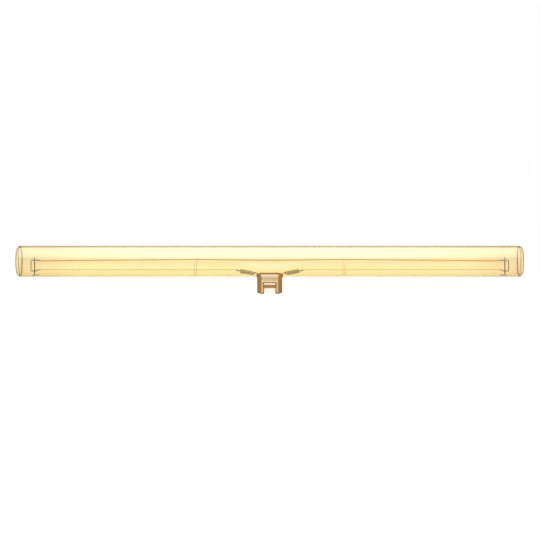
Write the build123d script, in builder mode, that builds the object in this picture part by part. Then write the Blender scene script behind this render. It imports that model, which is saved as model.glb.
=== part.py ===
from build123d import *
from math import cos, pi, radians, sin, sqrt
import os

os.makedirs("parts", exist_ok=True)

# Linear LED filament lamp, in millimetres.
# X runs along the tube, Z is up and the origin is the middle of the plug cap's feet.

# Glass tube, closed at both ends
tube_length = 500.0
tube_diameter = 30.6
glass_wall = 1.0
end_corner_radius = 3.5
end_crown_radius = 75.0

# Clearances where pieces seat on each other, and where glass or solder closes round a wire
seat_gap = 0.05
seal_gap = 0.02

# Plug cap shell
cap_width = 25.0
cap_depth = 18.0
cap_height = 17.0
cap_corner_radius = 4.4
cap_wall = 1.0
flange_reach = 0.6
flange_thickness = 1.1
opening_width = 11.6
opening_corner_radius = 1.0
opening_edge_chamfer = 0.4
window_height = 2.8
bar_height = 2.9
bar_thickness = 1.6
bar_ramp = 0.9
bar_edge_radius = 0.3
bar_setback = 0.6
bar_lap = 0.8
foot_width = 2.4
foot_chamfer = 2.8
side_rise = 1.1

# Glass stem that closes the slot in the tube's underside
stem_width = 8.0
stem_margin = 3.0
stem_thickness = 2.7
stem_proud = 0.2
tip_diameter = 3.4
tip_height = 1.1
tip_chamfer = 0.7

# Insulator, contacts and driver board inside the cap
board_gap = 0.8
board_thickness = 1.0
board_width = 9.0
board_margin = 1.5
board_corner_radius = 1.0
plate_thickness = 1.0
plate_gap = 0.2
tongue_cover = 0.15
tongue_rise = 1.3
tongue_corner_radius = 0.8
latch_room = 1.8
insulator_wall = 1.0
contact_thickness = 0.4
contact_width = 5.0
contact_bow = 0.6
contact_rise = 1.0
contact_tail = 0.6
contact_bend = 1.0
rectifier_size = (4.7, 3.9, 1.5)
regulator_size = (4.5, 2.5, 1.5)
chip_chamfer = 0.3
chip_spacing = 0.9
resistor_diameter = 2.4
resistor_length = 6.0
resistor_wire = 0.5
resistor_drop = 2.6
resistor_chamfer = 0.4
cement_thickness = 1.15
cement_margin = 1.0

# Wires inside the tube, drawn with six flat sides and with each bend as two short straights
wire_sides = 6
lead_wire = 0.6
lead_wall_gap = 0.95
lead_crest = 1.6
lead_ramp = 2.2
lead_bend = 0.7
hook_rise = 1.3
hook_tail = 0.9
spring_wire = 0.8
spring_diameter = 3.9
spring_pitch = 1.05
spring_turns = 12
spring_turn_steps = 8
spring_hook_steps = 6
spring_slope = 10.6
spring_inner_x = 16.6
spring_floor_gap = 0.35
spring_loop_leg = 1.8
return_wire_diameter = 0.4
return_hook_rise = 0.85
return_bend = 0.4

# Filament and its supports
filament_diameter = 1.4
filament_sides = 8
filament_rise = 1.65
filament_end_rise = 0.55
filament_sag = 0.7
filament_bend = 800.0
terminal_length = 4.3
terminal_width = 1.2
terminal_thickness = 0.25
terminal_gap = 1.0
link_wire = 0.6
link_lap = 3.8
link_reach = 4.1
link_dip = 1.35
link_bend = 0.8
link_ramp = 1.7
link_run = 1.6
support_bend = 0.8
mid_support_wire = 0.5
mid_support_x = 72.0
mid_support_step = 2.2
mid_support_top = 3.3
mid_support_lean = 1.2
mid_strut_drop = 1.9
end_support_wire = 0.8
end_support_inset = 19.0
end_support_top = 2.4
end_support_spread = 1.3
end_foot_outward = 2.6
end_foot_inward = 4.1

# Levels and places that follow from the sizes above
tube_radius = tube_diameter / 2
inner_radius = tube_radius - glass_wall
axis_height = cap_height + tube_radius
floor_height = cap_height + glass_wall
inner_width = cap_width - 2 * cap_wall
inner_depth = cap_depth - 2 * cap_wall
inner_corner_radius = cap_corner_radius - cap_wall

stem_top = floor_height + stem_proud
stem_bottom = stem_top - stem_thickness
board_top = stem_bottom - tip_height - board_gap
board_bottom = board_top - board_thickness
plate_bottom = board_bottom - plate_thickness
window_top = plate_bottom - plate_gap
bar_top = window_top - window_height
bar_bottom = bar_top - bar_height

tongue_half_width = opening_width / 2 + tongue_cover
tongue_half_depth = inner_depth / 2 - latch_room
pocket_half_width = tongue_half_width - insulator_wall
pocket_half_depth = tongue_half_depth - insulator_wall
contact_inner_x = tongue_half_width + seat_gap
contact_middle_x = contact_inner_x + contact_thickness / 2
lead_x = pocket_half_width - lead_wall_gap
stem_length = 2 * (lead_x + stem_margin)
lead_height = stem_top + lead_bend + seat_gap
resistor_y = -pocket_half_depth / 2

coil_radius = (spring_diameter - spring_wire) / 2
coil_length = spring_pitch * spring_turns
spring_height = floor_height + spring_floor_gap + spring_diameter / 2

filament_height = axis_height + filament_rise
filament_end_height = axis_height + filament_end_rise
end_support_x = tube_length / 2 - end_support_inset
terminal_end_x = end_support_x - terminal_gap
filament_end_x = terminal_end_x - terminal_length
link_height = filament_end_height + terminal_thickness / 2 + seat_gap + link_wire / 2

tube_axis = Axis((0, 0, axis_height), (1, 0, 0))
sides = {"left": -1, "right": 1}


def spring_point(side, along, above):
    """Point in the middle plane, measured along the spring's axis from its inner end and square to it."""
    lean = radians(spring_slope)
    x = spring_inner_x + along * cos(lean) - above * sin(lean)
    return (side * x, 0, spring_height + along * sin(lean) + above * cos(lean))


def across(path):
    """Plane square to the start of a path, for the section that is swept along it."""
    return Plane(path.line @ 0, z_dir=path.line % 0)


def bent_wire(*corners, radius):
    """Route of a bent wire through its corners, with two short straights in each bend."""
    route = FilletPolyline(*corners, radius=radius, mode=Mode.PRIVATE)
    points = []
    for edge in route.order_edges():
        points.append(edge @ 0)
        if edge.geom_type == GeomType.CIRCLE:
            points.append(edge @ 0.5)
    return Polyline(*points, corners[-1])


def tube_outline(inset, round_corner):
    """Half outline of the closed tube at a depth below its skin: wall, corner and crown on both ends.

    A straight corner in the bore leaves the glass thicker there.
    """
    radius = tube_radius - inset
    half_length = tube_length / 2 - inset
    corner = end_corner_radius - inset
    crown = end_crown_radius - inset
    corner_reach = sqrt((crown - corner) ** 2 - (radius - corner) ** 2)
    corner_x = half_length - crown + corner_reach
    crown_edge = (half_length - crown + crown * corner_reach / (crown - corner),
                  crown * (radius - corner) / (crown - corner))
    crown_slope = (crown_edge[1], half_length - crown - crown_edge[0])
    wall = Line((0, radius), (corner_x, radius))
    if round_corner:
        TangentArc(wall @ 1, crown_edge, tangent=wall % 1)
    else:
        Line(wall @ 1, crown_edge)
    TangentArc(crown_edge, (half_length, 0), tangent=crown_slope)
    mirror(about=Plane.YZ)
    Line((-half_length, 0), (half_length, 0))


def foot_height(wire, across_tube):
    """Height of a wire's middle where it lies along the bottom of the bore, at a distance from the middle."""
    reach = inner_radius - wire / 2 - seat_gap
    return axis_height - sqrt(reach ** 2 - across_tube ** 2)


def other_half(corners):
    """The same corners on the other side of the lamp's middle plane, in the opposite order."""
    return [(x, -y, z) for x, y, z in reversed(corners)]


# Glass tube: blown tube with domed ends, slotted underneath for the stem
with BuildPart() as glass_tube:
    with BuildSketch(Plane((0, 0, axis_height), x_dir=(1, 0, 0), z_dir=(0, -1, 0))) as tube_wall:
        with BuildLine() as skin:
            tube_outline(0, round_corner=True)
        make_face()
        with BuildLine() as bore:
            tube_outline(glass_wall, round_corner=False)
        make_face(mode=Mode.SUBTRACT)
    revolve(axis=tube_axis)
    with BuildSketch() as stem_slot:
        SlotOverall(stem_length + 2 * seal_gap, stem_width + 2 * seal_gap)
    extrude(amount=axis_height, mode=Mode.SUBTRACT)
glass_tube.part.label = "glass_tube"
export_step(glass_tube.part, "parts/glass_tube.step")

# Glass stem: pressed plug with two wire holes and the sealed-off exhaust tip
with BuildPart() as glass_stem:
    with BuildSketch(Plane.XY.offset(stem_bottom)):
        SlotOverall(stem_length, stem_width)
    extrude(amount=stem_thickness)
    with BuildSketch(Plane.XY.offset(stem_bottom)):
        Circle(tip_diameter / 2)
    extrude(amount=-tip_height)
    chamfer(edges().group_by(Axis.Z)[0], tip_chamfer)
    with BuildSketch(Plane.XY.offset(stem_bottom)):
        with Locations((-lead_x, 0), (lead_x, 0)):
            RegularPolygon(lead_wire / 2 + seal_gap, wire_sides, major_radius=False)
    extrude(amount=stem_thickness, mode=Mode.SUBTRACT)
glass_stem.part.label = "glass_stem"
export_step(glass_stem.part, "parts/glass_stem.step")

# Cap shell: drawn cup with a saddle flange on the tube, and a window, bar and notch in front and back
with BuildPart() as cap_shell:
    with BuildSketch():
        RectangleRounded(cap_width + 2 * flange_reach, cap_depth + 2 * flange_reach,
                         cap_corner_radius + flange_reach)
    extrude(amount=axis_height)
    with BuildSketch(Plane.YZ):
        with Locations((0, axis_height)):
            Circle(tube_radius + flange_thickness)
    extrude(amount=cap_width, both=True, mode=Mode.INTERSECT)
    with BuildSketch():
        RectangleRounded(cap_width, cap_depth, cap_corner_radius)
    extrude(amount=axis_height)
    with BuildSketch(Plane.YZ):
        with Locations((0, axis_height)):
            Circle(tube_radius + seat_gap)
    extrude(amount=cap_width, both=True, mode=Mode.SUBTRACT)
    with BuildSketch():
        RectangleRounded(inner_width, inner_depth, inner_corner_radius)
    extrude(amount=axis_height, mode=Mode.SUBTRACT)
    with BuildSketch(Plane.XZ) as opening:
        Rectangle(opening_width, window_top, align=(Align.CENTER, Align.MIN))
        fillet(opening.vertices().group_by(Axis.Y)[-1], opening_corner_radius)
    extrude(amount=cap_depth, both=True, mode=Mode.SUBTRACT)
    with BuildSketch(Plane.XZ):
        with BuildLine():
            Polyline((opening_width / 2 + foot_width, 0),
                     (opening_width / 2 + foot_width + foot_chamfer, side_rise),
                     (cap_width, side_rise),
                     (cap_width, 0),
                     close=True)
        make_face()
        mirror(about=Plane.YZ)
    extrude(amount=cap_depth, both=True, mode=Mode.SUBTRACT)
    outer_rims = edges().filter_by(
        lambda edge: abs(abs(edge.center().Y) - cap_depth / 2) < seat_gap
        and abs(edge.center().X) < opening_width / 2 + seat_gap
        and edge.center().Z < window_top + seat_gap)
    chamfer(outer_rims, opening_edge_chamfer)
    with BuildSketch(Plane.YZ) as bar:
        bar_front = cap_depth / 2 - bar_setback
        bar_back = bar_front - bar_thickness
        with BuildLine():
            Polyline((bar_back, bar_bottom),
                     (bar_back, bar_top),
                     (bar_front, bar_top),
                     (bar_front - bar_ramp, bar_bottom),
                     close=True)
        make_face()
        fillet(bar.vertices(), bar_edge_radius)
        mirror(about=Plane.YZ)
    extrude(amount=opening_width / 2 + bar_lap, both=True)
cap_shell.part.label = "cap_shell"
export_step(cap_shell.part, "parts/cap_shell.step")

# Basing cement: saddle-shaped bond between the glass and the inside of the shell
with BuildPart() as basing_cement:
    with BuildSketch():
        RectangleRounded(inner_width - 2 * seal_gap, inner_depth - 2 * seal_gap,
                         inner_corner_radius - seal_gap)
        SlotOverall(stem_length + 2 * cement_margin, stem_width + 2 * cement_margin, mode=Mode.SUBTRACT)
    extrude(amount=axis_height)
    with BuildSketch(Plane.YZ):
        with Locations((0, axis_height)):
            Circle(tube_radius + seal_gap + cement_thickness)
            Circle(tube_radius + seal_gap, mode=Mode.SUBTRACT)
    extrude(amount=cap_width, both=True, mode=Mode.INTERSECT)
basing_cement.part.label = "basing_cement"
export_step(basing_cement.part, "parts/basing_cement.step")

# Insulator: plate that fills the shell, with a hollow tongue behind the window and slots for the contacts
with BuildPart() as cap_insulator:
    with BuildSketch(Plane.XY.offset(plate_bottom)):
        RectangleRounded(inner_width - 2 * seat_gap, inner_depth - 2 * seat_gap,
                         inner_corner_radius - seat_gap)
    extrude(amount=plate_thickness)
    with BuildSketch(Plane.XY.offset(tongue_rise)):
        RectangleRounded(2 * tongue_half_width, 2 * tongue_half_depth, tongue_corner_radius)
    extrude(amount=plate_bottom - tongue_rise)
    with BuildSketch(Plane.XY.offset(tongue_rise + insulator_wall)):
        Rectangle(2 * pocket_half_width, 2 * pocket_half_depth)
    extrude(amount=axis_height, mode=Mode.SUBTRACT)
    with BuildSketch(Plane.XY.offset(plate_bottom)):
        with Locations((-contact_middle_x, 0), (contact_middle_x, 0)):
            Rectangle(contact_thickness + 2 * seat_gap, contact_width + 2 * seat_gap)
    extrude(amount=plate_thickness, mode=Mode.SUBTRACT)
cap_insulator.part.label = "cap_insulator"
export_step(cap_insulator.part, "parts/cap_insulator.step")

# Driver board: rests on the insulator's plate, with holes for the wires and the contacts' tails
with BuildPart() as driver_board:
    with BuildSketch(Plane.XY.offset(board_bottom)):
        RectangleRounded(inner_width - 2 * board_margin, board_width, board_corner_radius)
        with Locations((-contact_middle_x, 0), (contact_middle_x, 0)):
            Rectangle(contact_thickness + 2 * seat_gap, contact_width + 2 * seat_gap, mode=Mode.SUBTRACT)
        with Locations((-lead_x, 0), (lead_x, 0)):
            RegularPolygon(lead_wire / 2 + seal_gap, wire_sides, major_radius=False, mode=Mode.SUBTRACT)
        with Locations((-lead_x, resistor_y), (lead_x, resistor_y)):
            RegularPolygon(resistor_wire / 2 + seal_gap, wire_sides, major_radius=False, mode=Mode.SUBTRACT)
    extrude(amount=board_thickness)
driver_board.part.label = "driver_board"
export_step(driver_board.part, "parts/driver_board.step")

# Rectifier and regulator: moulded chips under the board, one on each side of its middle line
chips = {"bridge_rectifier": (rectifier_size, 1), "current_regulator": (regulator_size, -1)}
for name, (size, row) in chips.items():
    length, width, height = size
    with BuildPart() as chip:
        with BuildSketch(Plane.XY.offset(board_bottom - height)):
            with Locations((0, row * (chip_spacing + width) / 2)):
                Rectangle(length, width)
        extrude(amount=height)
        chamfer(edges().group_by(Axis.Z)[0], chip_chamfer)
    chip.part.label = name
    export_step(chip.part, f"parts/{name}.step")

# Fusible resistor: round body hung below the board on its two wires
with BuildPart() as fusible_resistor:
    resistor_height = board_bottom - resistor_drop - resistor_diameter / 2
    with BuildSketch(Plane.YZ):
        with Locations((resistor_y, resistor_height)):
            Circle(resistor_diameter / 2)
    extrude(amount=resistor_length / 2, both=True)
    chamfer(edges(), resistor_chamfer)
    with BuildLine() as legs:
        Polyline((-lead_x, resistor_y, board_top),
                 (-lead_x, resistor_y, resistor_height),
                 (lead_x, resistor_y, resistor_height),
                 (lead_x, resistor_y, board_top))
    with BuildSketch(across(legs)):
        RegularPolygon(resistor_wire / 2, wire_sides)
    sweep(transition=Transition.RIGHT)
fusible_resistor.part.label = "fusible_resistor"
export_step(fusible_resistor.part, "parts/fusible_resistor.step")

# LED filament: one flexible strand that sags between the two middle supports
with BuildPart() as led_filament:
    with BuildLine() as strand:
        FilletPolyline((-filament_end_x, 0, filament_end_height),
                       (-mid_support_x, 0, filament_height),
                       (0, 0, filament_height - filament_sag),
                       (mid_support_x, 0, filament_height),
                       (filament_end_x, 0, filament_end_height),
                       radius=filament_bend)
    with BuildSketch(across(strand)):
        RegularPolygon(filament_diameter / 2, filament_sides)
    sweep()
led_filament.part.label = "led_filament"
export_step(led_filament.part, "parts/led_filament.step")

for hand, side in sides.items():
    # Contact: spring strip that bows out from the tongue's side and ends in the board
    with BuildPart() as contact:
        with BuildSketch(Plane.XZ):
            with BuildLine():
                FilletPolyline((side * contact_inner_x, board_top + contact_tail),
                               (side * contact_inner_x, plate_bottom - contact_bend),
                               (side * (contact_inner_x + contact_bow), (plate_bottom + tongue_rise) / 2),
                               (side * contact_inner_x, tongue_rise + contact_rise),
                               radius=contact_bend)
                offset(amount=contact_thickness, side=Side.LEFT if side > 0 else Side.RIGHT)
            make_face()
        extrude(amount=contact_width / 2, both=True)
    contact.part.label = f"{hand}_contact"
    export_step(contact.part, f"parts/{hand}_contact.step")

    # Spring: close coil with an open hook at each end, wound as one wire
    with BuildPart() as spring:
        lean = radians(spring_slope)
        coil_plane = Plane(spring_point(side, 0, 0), x_dir=(0, 1, 0),
                           z_dir=(side * cos(lean), 0, sin(lean)))
        inner_hook = [(coil_radius * cos(pi * step / spring_hook_steps), 0,
                       -coil_radius * sin(pi * step / spring_hook_steps))
                      for step in range(spring_hook_steps - 1, 0, -1)]
        turns = [(coil_radius * cos(2 * pi * step / spring_turn_steps),
                  coil_radius * sin(2 * pi * step / spring_turn_steps),
                  spring_pitch * step / spring_turn_steps)
                 for step in range(spring_turn_steps * spring_turns + 1)]
        outer_hook = [(x, 0, coil_length + spring_loop_leg - z) for x, y, z in reversed(inner_hook)]
        loop_start = (coil_radius, 0, coil_length + spring_loop_leg)
        with BuildLine(coil_plane) as winding:
            Polyline(*inner_hook, *turns, loop_start, *outer_hook)
        with BuildSketch(across(winding)):
            RegularPolygon(spring_wire / 2, wire_sides)
        sweep(transition=Transition.RIGHT)
    spring.part.label = f"{hand}_spring"
    export_step(spring.part, f"parts/{hand}_spring.step")

    # Lead-in wire: from the board up through the stem, along the glass and into the spring's inner hook
    with BuildPart() as lead_in_wire:
        hook_along = -(coil_radius - (spring_wire + lead_wire) / 2 - seat_gap)
        crest_x, _, crest_height = spring_point(side, hook_along, hook_rise)
        with BuildLine() as path:
            bent_wire((side * lead_x, 0, board_bottom),
                      (side * lead_x, 0, lead_height),
                      (crest_x - side * (lead_crest + lead_ramp), 0, lead_height),
                      (crest_x - side * lead_crest, 0, crest_height),
                      (crest_x, 0, crest_height),
                      spring_point(side, hook_along, -hook_tail),
                      radius=lead_bend)
        with BuildSketch(across(path)):
            RegularPolygon(lead_wire / 2, wire_sides)
        sweep(transition=Transition.RIGHT)
    lead_in_wire.part.label = f"{hand}_lead_in_wire"
    export_step(lead_in_wire.part, f"parts/{hand}_lead_in_wire.step")

    # Return wire: straight run from the end link to the spring's outer hook
    with BuildPart() as return_wire:
        reach = coil_length + spring_loop_leg + coil_radius
        hook_along = reach - (spring_wire + return_wire_diameter) / 2 - seat_gap
        hook_x, _, return_height = spring_point(side, hook_along, return_hook_rise)
        link_end_x = end_support_x - link_ramp * 2 - link_run
        with BuildLine() as path:
            bent_wire((side * link_end_x, 0, return_height),
                      (hook_x, 0, return_height),
                      spring_point(side, hook_along, -hook_tail),
                      radius=return_bend)
        with BuildSketch(across(path)):
            RegularPolygon(return_wire_diameter / 2, wire_sides)
        sweep(transition=Transition.RIGHT)
    return_wire.part.label = f"{hand}_return_wire"
    export_step(return_wire.part, f"parts/{hand}_return_wire.step")

    # Filament terminal: flat tab between the filament's end and the end support
    with BuildPart() as filament_terminal:
        with BuildSketch(Plane.XY.offset(filament_end_height - terminal_thickness / 2)):
            with Locations((side * (filament_end_x + seal_gap + terminal_length / 2), 0)):
                Rectangle(terminal_length, terminal_width)
        extrude(amount=terminal_thickness)
    filament_terminal.part.label = f"{hand}_filament_terminal"
    export_step(filament_terminal.part, f"parts/{hand}_filament_terminal.step")

    # End link: wire from the terminal round the end of the support and back to the return wire
    with BuildPart() as end_link:
        link_outer_x = end_support_x + link_reach
        link_low = return_height - link_dip
        with BuildLine() as path:
            bent_wire((side * (terminal_end_x - link_lap), 0, link_height),
                      (side * link_outer_x, 0, link_height),
                      (side * link_outer_x, 0, link_low),
                      (side * (end_support_x - link_ramp), 0, link_low),
                      (side * (end_support_x - 2 * link_ramp), 0, return_height),
                      (side * link_end_x, 0, return_height),
                      radius=link_bend)
        with BuildSketch(across(path)):
            RegularPolygon(link_wire / 2, wire_sides)
        sweep(transition=Transition.RIGHT)
    end_link.part.label = f"{hand}_end_link"
    export_step(end_link.part, f"parts/{hand}_end_link.step")

    # Middle support: hairpin round the filament, stepped along the glass and braced by a strut on each side
    with BuildPart() as mid_support:
        leg = (filament_diameter + mid_support_wire) / 2 + seat_gap
        foot = foot_height(mid_support_wire, leg)
        strut_height = axis_height - mid_strut_drop
        strut_reach = sqrt((inner_radius - seat_gap) ** 2 - (mid_strut_drop + mid_support_wire / 2) ** 2)
        leg_x = side * mid_support_x
        strut_x = side * (mid_support_x + mid_support_step)
        half = [(strut_x, strut_reach, strut_height),
                (strut_x, leg, strut_height),
                (strut_x, leg, foot),
                (leg_x, leg, foot),
                (leg_x, leg, filament_height),
                (side * (mid_support_x - mid_support_lean), leg, filament_height + mid_support_top)]
        with BuildLine() as path:
            bent_wire(*half, *other_half(half), radius=support_bend)
        with BuildSketch(across(path)):
            RegularPolygon(mid_support_wire / 2, wire_sides)
        sweep(transition=Transition.RIGHT)
    mid_support.part.label = f"{hand}_mid_support"
    export_step(mid_support.part, f"parts/{hand}_mid_support.step")

    # End support: thicker hairpin over the end link, with one foot each way along the glass
    with BuildPart() as end_support:
        leg = (link_wire + end_support_wire) / 2 + seat_gap
        stance = leg + end_support_spread
        foot = foot_height(end_support_wire, stance)
        crest = leg - end_support_wire / 4
        top = link_height + end_support_top
        leg_x = side * end_support_x
        with BuildLine() as path:
            bent_wire((side * (end_support_x + end_foot_outward), -stance, foot),
                      (leg_x, -stance, foot),
                      (leg_x, -leg, top),
                      (leg_x, leg, top),
                      (leg_x, stance, foot),
                      (side * (end_support_x - end_foot_inward), stance, foot),
                      radius=[support_bend, crest, crest, support_bend])
        with BuildSketch(across(path)):
            RegularPolygon(end_support_wire / 2, wire_sides)
        sweep(transition=Transition.RIGHT)
    end_support.part.label = f"{hand}_end_support"
    export_step(end_support.part, f"parts/{hand}_end_support.step")
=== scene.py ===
from math import asin, cos, pi, radians, sin, sqrt, tan

import bpy
from mathutils import Matrix, Vector


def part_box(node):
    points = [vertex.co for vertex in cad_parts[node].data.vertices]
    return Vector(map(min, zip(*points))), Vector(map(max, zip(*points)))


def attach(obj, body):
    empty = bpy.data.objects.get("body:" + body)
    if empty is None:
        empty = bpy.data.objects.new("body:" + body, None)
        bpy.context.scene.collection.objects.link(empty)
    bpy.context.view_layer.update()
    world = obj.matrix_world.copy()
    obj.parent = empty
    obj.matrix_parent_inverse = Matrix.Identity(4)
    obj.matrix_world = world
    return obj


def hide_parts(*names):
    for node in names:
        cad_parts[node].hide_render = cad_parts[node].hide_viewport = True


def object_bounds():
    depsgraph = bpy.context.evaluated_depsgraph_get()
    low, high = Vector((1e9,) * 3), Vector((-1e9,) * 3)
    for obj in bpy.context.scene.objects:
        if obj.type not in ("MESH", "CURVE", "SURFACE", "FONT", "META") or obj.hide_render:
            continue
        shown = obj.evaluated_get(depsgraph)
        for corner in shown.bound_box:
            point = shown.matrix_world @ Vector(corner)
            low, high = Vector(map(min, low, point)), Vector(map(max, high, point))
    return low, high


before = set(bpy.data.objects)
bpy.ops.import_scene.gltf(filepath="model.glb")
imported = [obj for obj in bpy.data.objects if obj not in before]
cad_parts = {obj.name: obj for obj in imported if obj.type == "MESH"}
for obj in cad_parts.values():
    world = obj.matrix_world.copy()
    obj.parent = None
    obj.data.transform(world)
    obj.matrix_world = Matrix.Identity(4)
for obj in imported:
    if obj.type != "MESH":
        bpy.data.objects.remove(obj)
cad_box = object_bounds()

# Glass stem
# Pressed plug of clear soda-lime glass that closes the slot in the tube's underside.
# The two lead-in wires are sealed through it, and its exhaust tip points down into the cap.
mm = 0.001
merge_reach = 0.002 * mm
stem_low, stem_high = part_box("glass_stem")
stem_edge = 0.25 * mm


def linear(code):
    """Linear RGBA of an sRGB hex colour."""
    channels = [int(code[i:i + 2], 16) / 255 for i in (0, 2, 4)]
    return [c / 12.92 if c <= 0.04045 else ((c + 0.055) / 1.055) ** 2.4 for c in channels] + [1.0]


def add_node(tree, kind, inputs=None, stops=(), **settings):
    """A node with its settings and its ramp's stops, its inputs set to values or linked to other sockets."""
    node = tree.nodes.new(kind)
    for name, value in settings.items():
        setattr(node, name, value)
    if stops:
        ramp = node.color_ramp.elements
        ramp.remove(ramp[1])
        ramp[0].position, ramp[0].color = stops[0]
        for position, colour in stops[1:]:
            ramp.new(position).color = colour
    for name, value in (inputs or {}).items():
        if isinstance(value, bpy.types.NodeSocket):
            tree.links.new(value, node.inputs[name])
        else:
            node.inputs[name].default_value = value
    return node


def new_finish(name):
    """A material with an empty node tree, and that tree."""
    material = bpy.data.materials.new(name)
    material.use_nodes = True
    material.node_tree.nodes.clear()
    return material, material.node_tree


def select_only(piece):
    """Makes a piece the only selected object and the active one."""
    bpy.ops.object.select_all(action="DESELECT")
    piece.select_set(True)
    bpy.context.view_layer.objects.active = piece


def soften(node, name, edge, corner_angle=30):
    """Copy of a CAD piece with its facets joined, its sharp edges broken and its curves shaded smooth."""
    piece = bpy.data.objects.new(name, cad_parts[node].data.copy())
    bpy.context.scene.collection.objects.link(piece)
    select_only(piece)
    bpy.ops.object.mode_set(mode="EDIT")
    bpy.ops.mesh.select_all(action="SELECT")
    bpy.ops.mesh.remove_doubles(threshold=merge_reach)
    bpy.ops.mesh.dissolve_limited(angle_limit=radians(0.5))
    bpy.ops.object.mode_set(mode="OBJECT")
    bevel = piece.modifiers.new("Broken edges", "BEVEL")
    bevel.width = edge
    bevel.segments = 2
    bevel.limit_method = "ANGLE"
    bevel.angle_limit = radians(corner_angle)
    bpy.ops.object.modifier_apply(modifier=bevel.name)
    bpy.ops.object.shade_smooth_by_angle(angle=radians(corner_angle))
    return piece


def fit(piece, finish, slot, *nodes):
    """Gives a piece its finish and puts it in the place of its CAD nodes on the lamp. The slot is not used.
    """
    piece.data.materials.clear()
    piece.data.materials.append(finish)
    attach(piece, "root")
    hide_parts(*nodes)


# Pressed clear glass: smooth, faintly wavy where the tool left it, so that edges inside look a little bent.
stem_wave = 2.5 * mm
stem_glass, tree = new_finish("pressed_clear_glass")
place = add_node(tree, "ShaderNodeTexCoord")
waves = add_node(tree, "ShaderNodeTexNoise", {
    "Vector": place.outputs["Object"], "Scale": 1 / stem_wave, "Detail": 1.0})
press_marks = add_node(tree, "ShaderNodeBump", {
    "Height": waves.outputs["Fac"], "Strength": 0.15, "Distance": 0.2 * mm})
shader = add_node(tree, "ShaderNodeBsdfPrincipled", {
    "Base Color": linear("F4F2EA"), "Roughness": 0.04, "IOR": 1.52, "Transmission Weight": 1.0,
    "Normal": press_marks.outputs["Normal"]})
add_node(tree, "ShaderNodeOutputMaterial", {"Surface": shader.outputs["BSDF"]})
fit(soften("glass_stem", "pressed_stem", stem_edge), stem_glass, "stem_glass", "glass_stem")

# Lead-in wires
# Iron wire, one on each side, from the driver board up through the stem, browned by the heat of the seal.
# Each is bent along the glass, over a crest and down into its spring's inner hook.
lead_wire = 0.7 * mm
lead_bend = 0.7 * mm
lead_lift = 0.05 * mm
lead_ramp = 2.2 * mm
lead_crest = 1.6 * mm
lead_hook_lean = 0.41 * mm
lead_hook_drop = 2.16 * mm
point_reach = 0.01 * mm
sides = {"left": -1, "right": 1}


def ends_along(node, side):
    """Where a node on one side of the lamp begins and ends along the tube, its inner end first."""
    low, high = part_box(node)
    return side * min(abs(low.x), abs(high.x)), side * max(abs(low.x), abs(high.x))


def extrude_through(points):
    """Extrudes the selected vertex from the first of these points through the others."""
    for start, end in zip(points, points[1:]):
        bpy.ops.mesh.extrude_region_move(TRANSFORM_OT_translate={"value": Vector(end) - Vector(start)})


def select_where(piece, kind, test):
    """Selects the vertices, edges or polygons of a piece that pass a test, and leaves it in edit mode."""
    modes = {"vertices": "VERT", "edges": "EDGE", "polygons": "FACE"}
    bpy.ops.object.mode_set(mode="OBJECT")
    select_only(piece)
    bpy.ops.object.mode_set(mode="EDIT")
    bpy.ops.mesh.select_mode(type=modes[kind])
    bpy.ops.mesh.select_all(action="DESELECT")
    bpy.ops.object.mode_set(mode="OBJECT")
    for element in getattr(piece.data, kind):
        element.select = test(element)
    bpy.ops.object.mode_set(mode="EDIT")


def start_wire(name, point):
    """A new wire of one selected vertex at a point, in edit mode."""
    bpy.ops.object.select_all(action="DESELECT")
    bpy.ops.mesh.primitive_plane_add(size=mm, location=point)
    wire = bpy.context.object
    wire.name = name
    bpy.ops.object.transform_apply(location=True, rotation=False, scale=False)
    bpy.ops.object.mode_set(mode="EDIT")
    bpy.ops.mesh.merge(type="CENTER")
    return wire


def draw_wire(wire, ends, bend, diameter):
    """Rounds every bend between the two ends of a wire's line and gives the wire its round section."""
    select_where(wire, "vertices", lambda v: all((v.co - Vector(end)).length > point_reach for end in ends))
    bpy.ops.mesh.bevel(offset_type="OFFSET", offset=bend, segments=5, affect="VERTICES", clamp_overlap=True)
    bpy.ops.mesh.select_all(action="SELECT")
    bpy.ops.mesh.remove_doubles(threshold=merge_reach)
    bpy.ops.object.mode_set(mode="OBJECT")
    bpy.ops.object.convert(target="CURVE")
    line = bpy.context.object.data
    line.bevel_depth = diameter / 2
    line.bevel_resolution = 3
    line.use_fill_caps = True
    bpy.ops.object.convert(target="MESH")
    drawn = bpy.context.object
    bpy.ops.object.mode_set(mode="EDIT")
    bpy.ops.mesh.select_all(action="SELECT")
    bpy.ops.mesh.remove_doubles(threshold=merge_reach)
    bpy.ops.mesh.normals_make_consistent(inside=False)
    bpy.ops.object.mode_set(mode="OBJECT")
    bpy.ops.object.shade_smooth_by_angle(angle=radians(50))
    return drawn


def bend_wire(name, corners, bend, diameter):
    """A wire bent through its corners."""
    wire = start_wire(name, corners[0])
    extrude_through(corners)
    return draw_wire(wire, (corners[0], corners[-1]), bend, diameter)


# Browned iron: wire that was heated for the seals and welds, covered in matt dark brown scale.
scale_patch = 0.8 * mm
browned_iron, tree = new_finish("heat_browned_iron")
place = add_node(tree, "ShaderNodeTexCoord")
patches = add_node(tree, "ShaderNodeTexNoise", {
    "Vector": place.outputs["Object"], "Scale": 1 / scale_patch, "Detail": 2.0})
oxide = add_node(tree, "ShaderNodeValToRGB", {"Fac": patches.outputs["Fac"]},
    stops=[(0.3, linear("2A1F08")), (0.7, linear("3E2F10"))])
shader = add_node(tree, "ShaderNodeBsdfPrincipled", {
    "Base Color": oxide.outputs["Color"], "Roughness": 0.6, "Specular IOR Level": 0.12})
add_node(tree, "ShaderNodeOutputMaterial", {"Surface": shader.outputs["BSDF"]})

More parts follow.
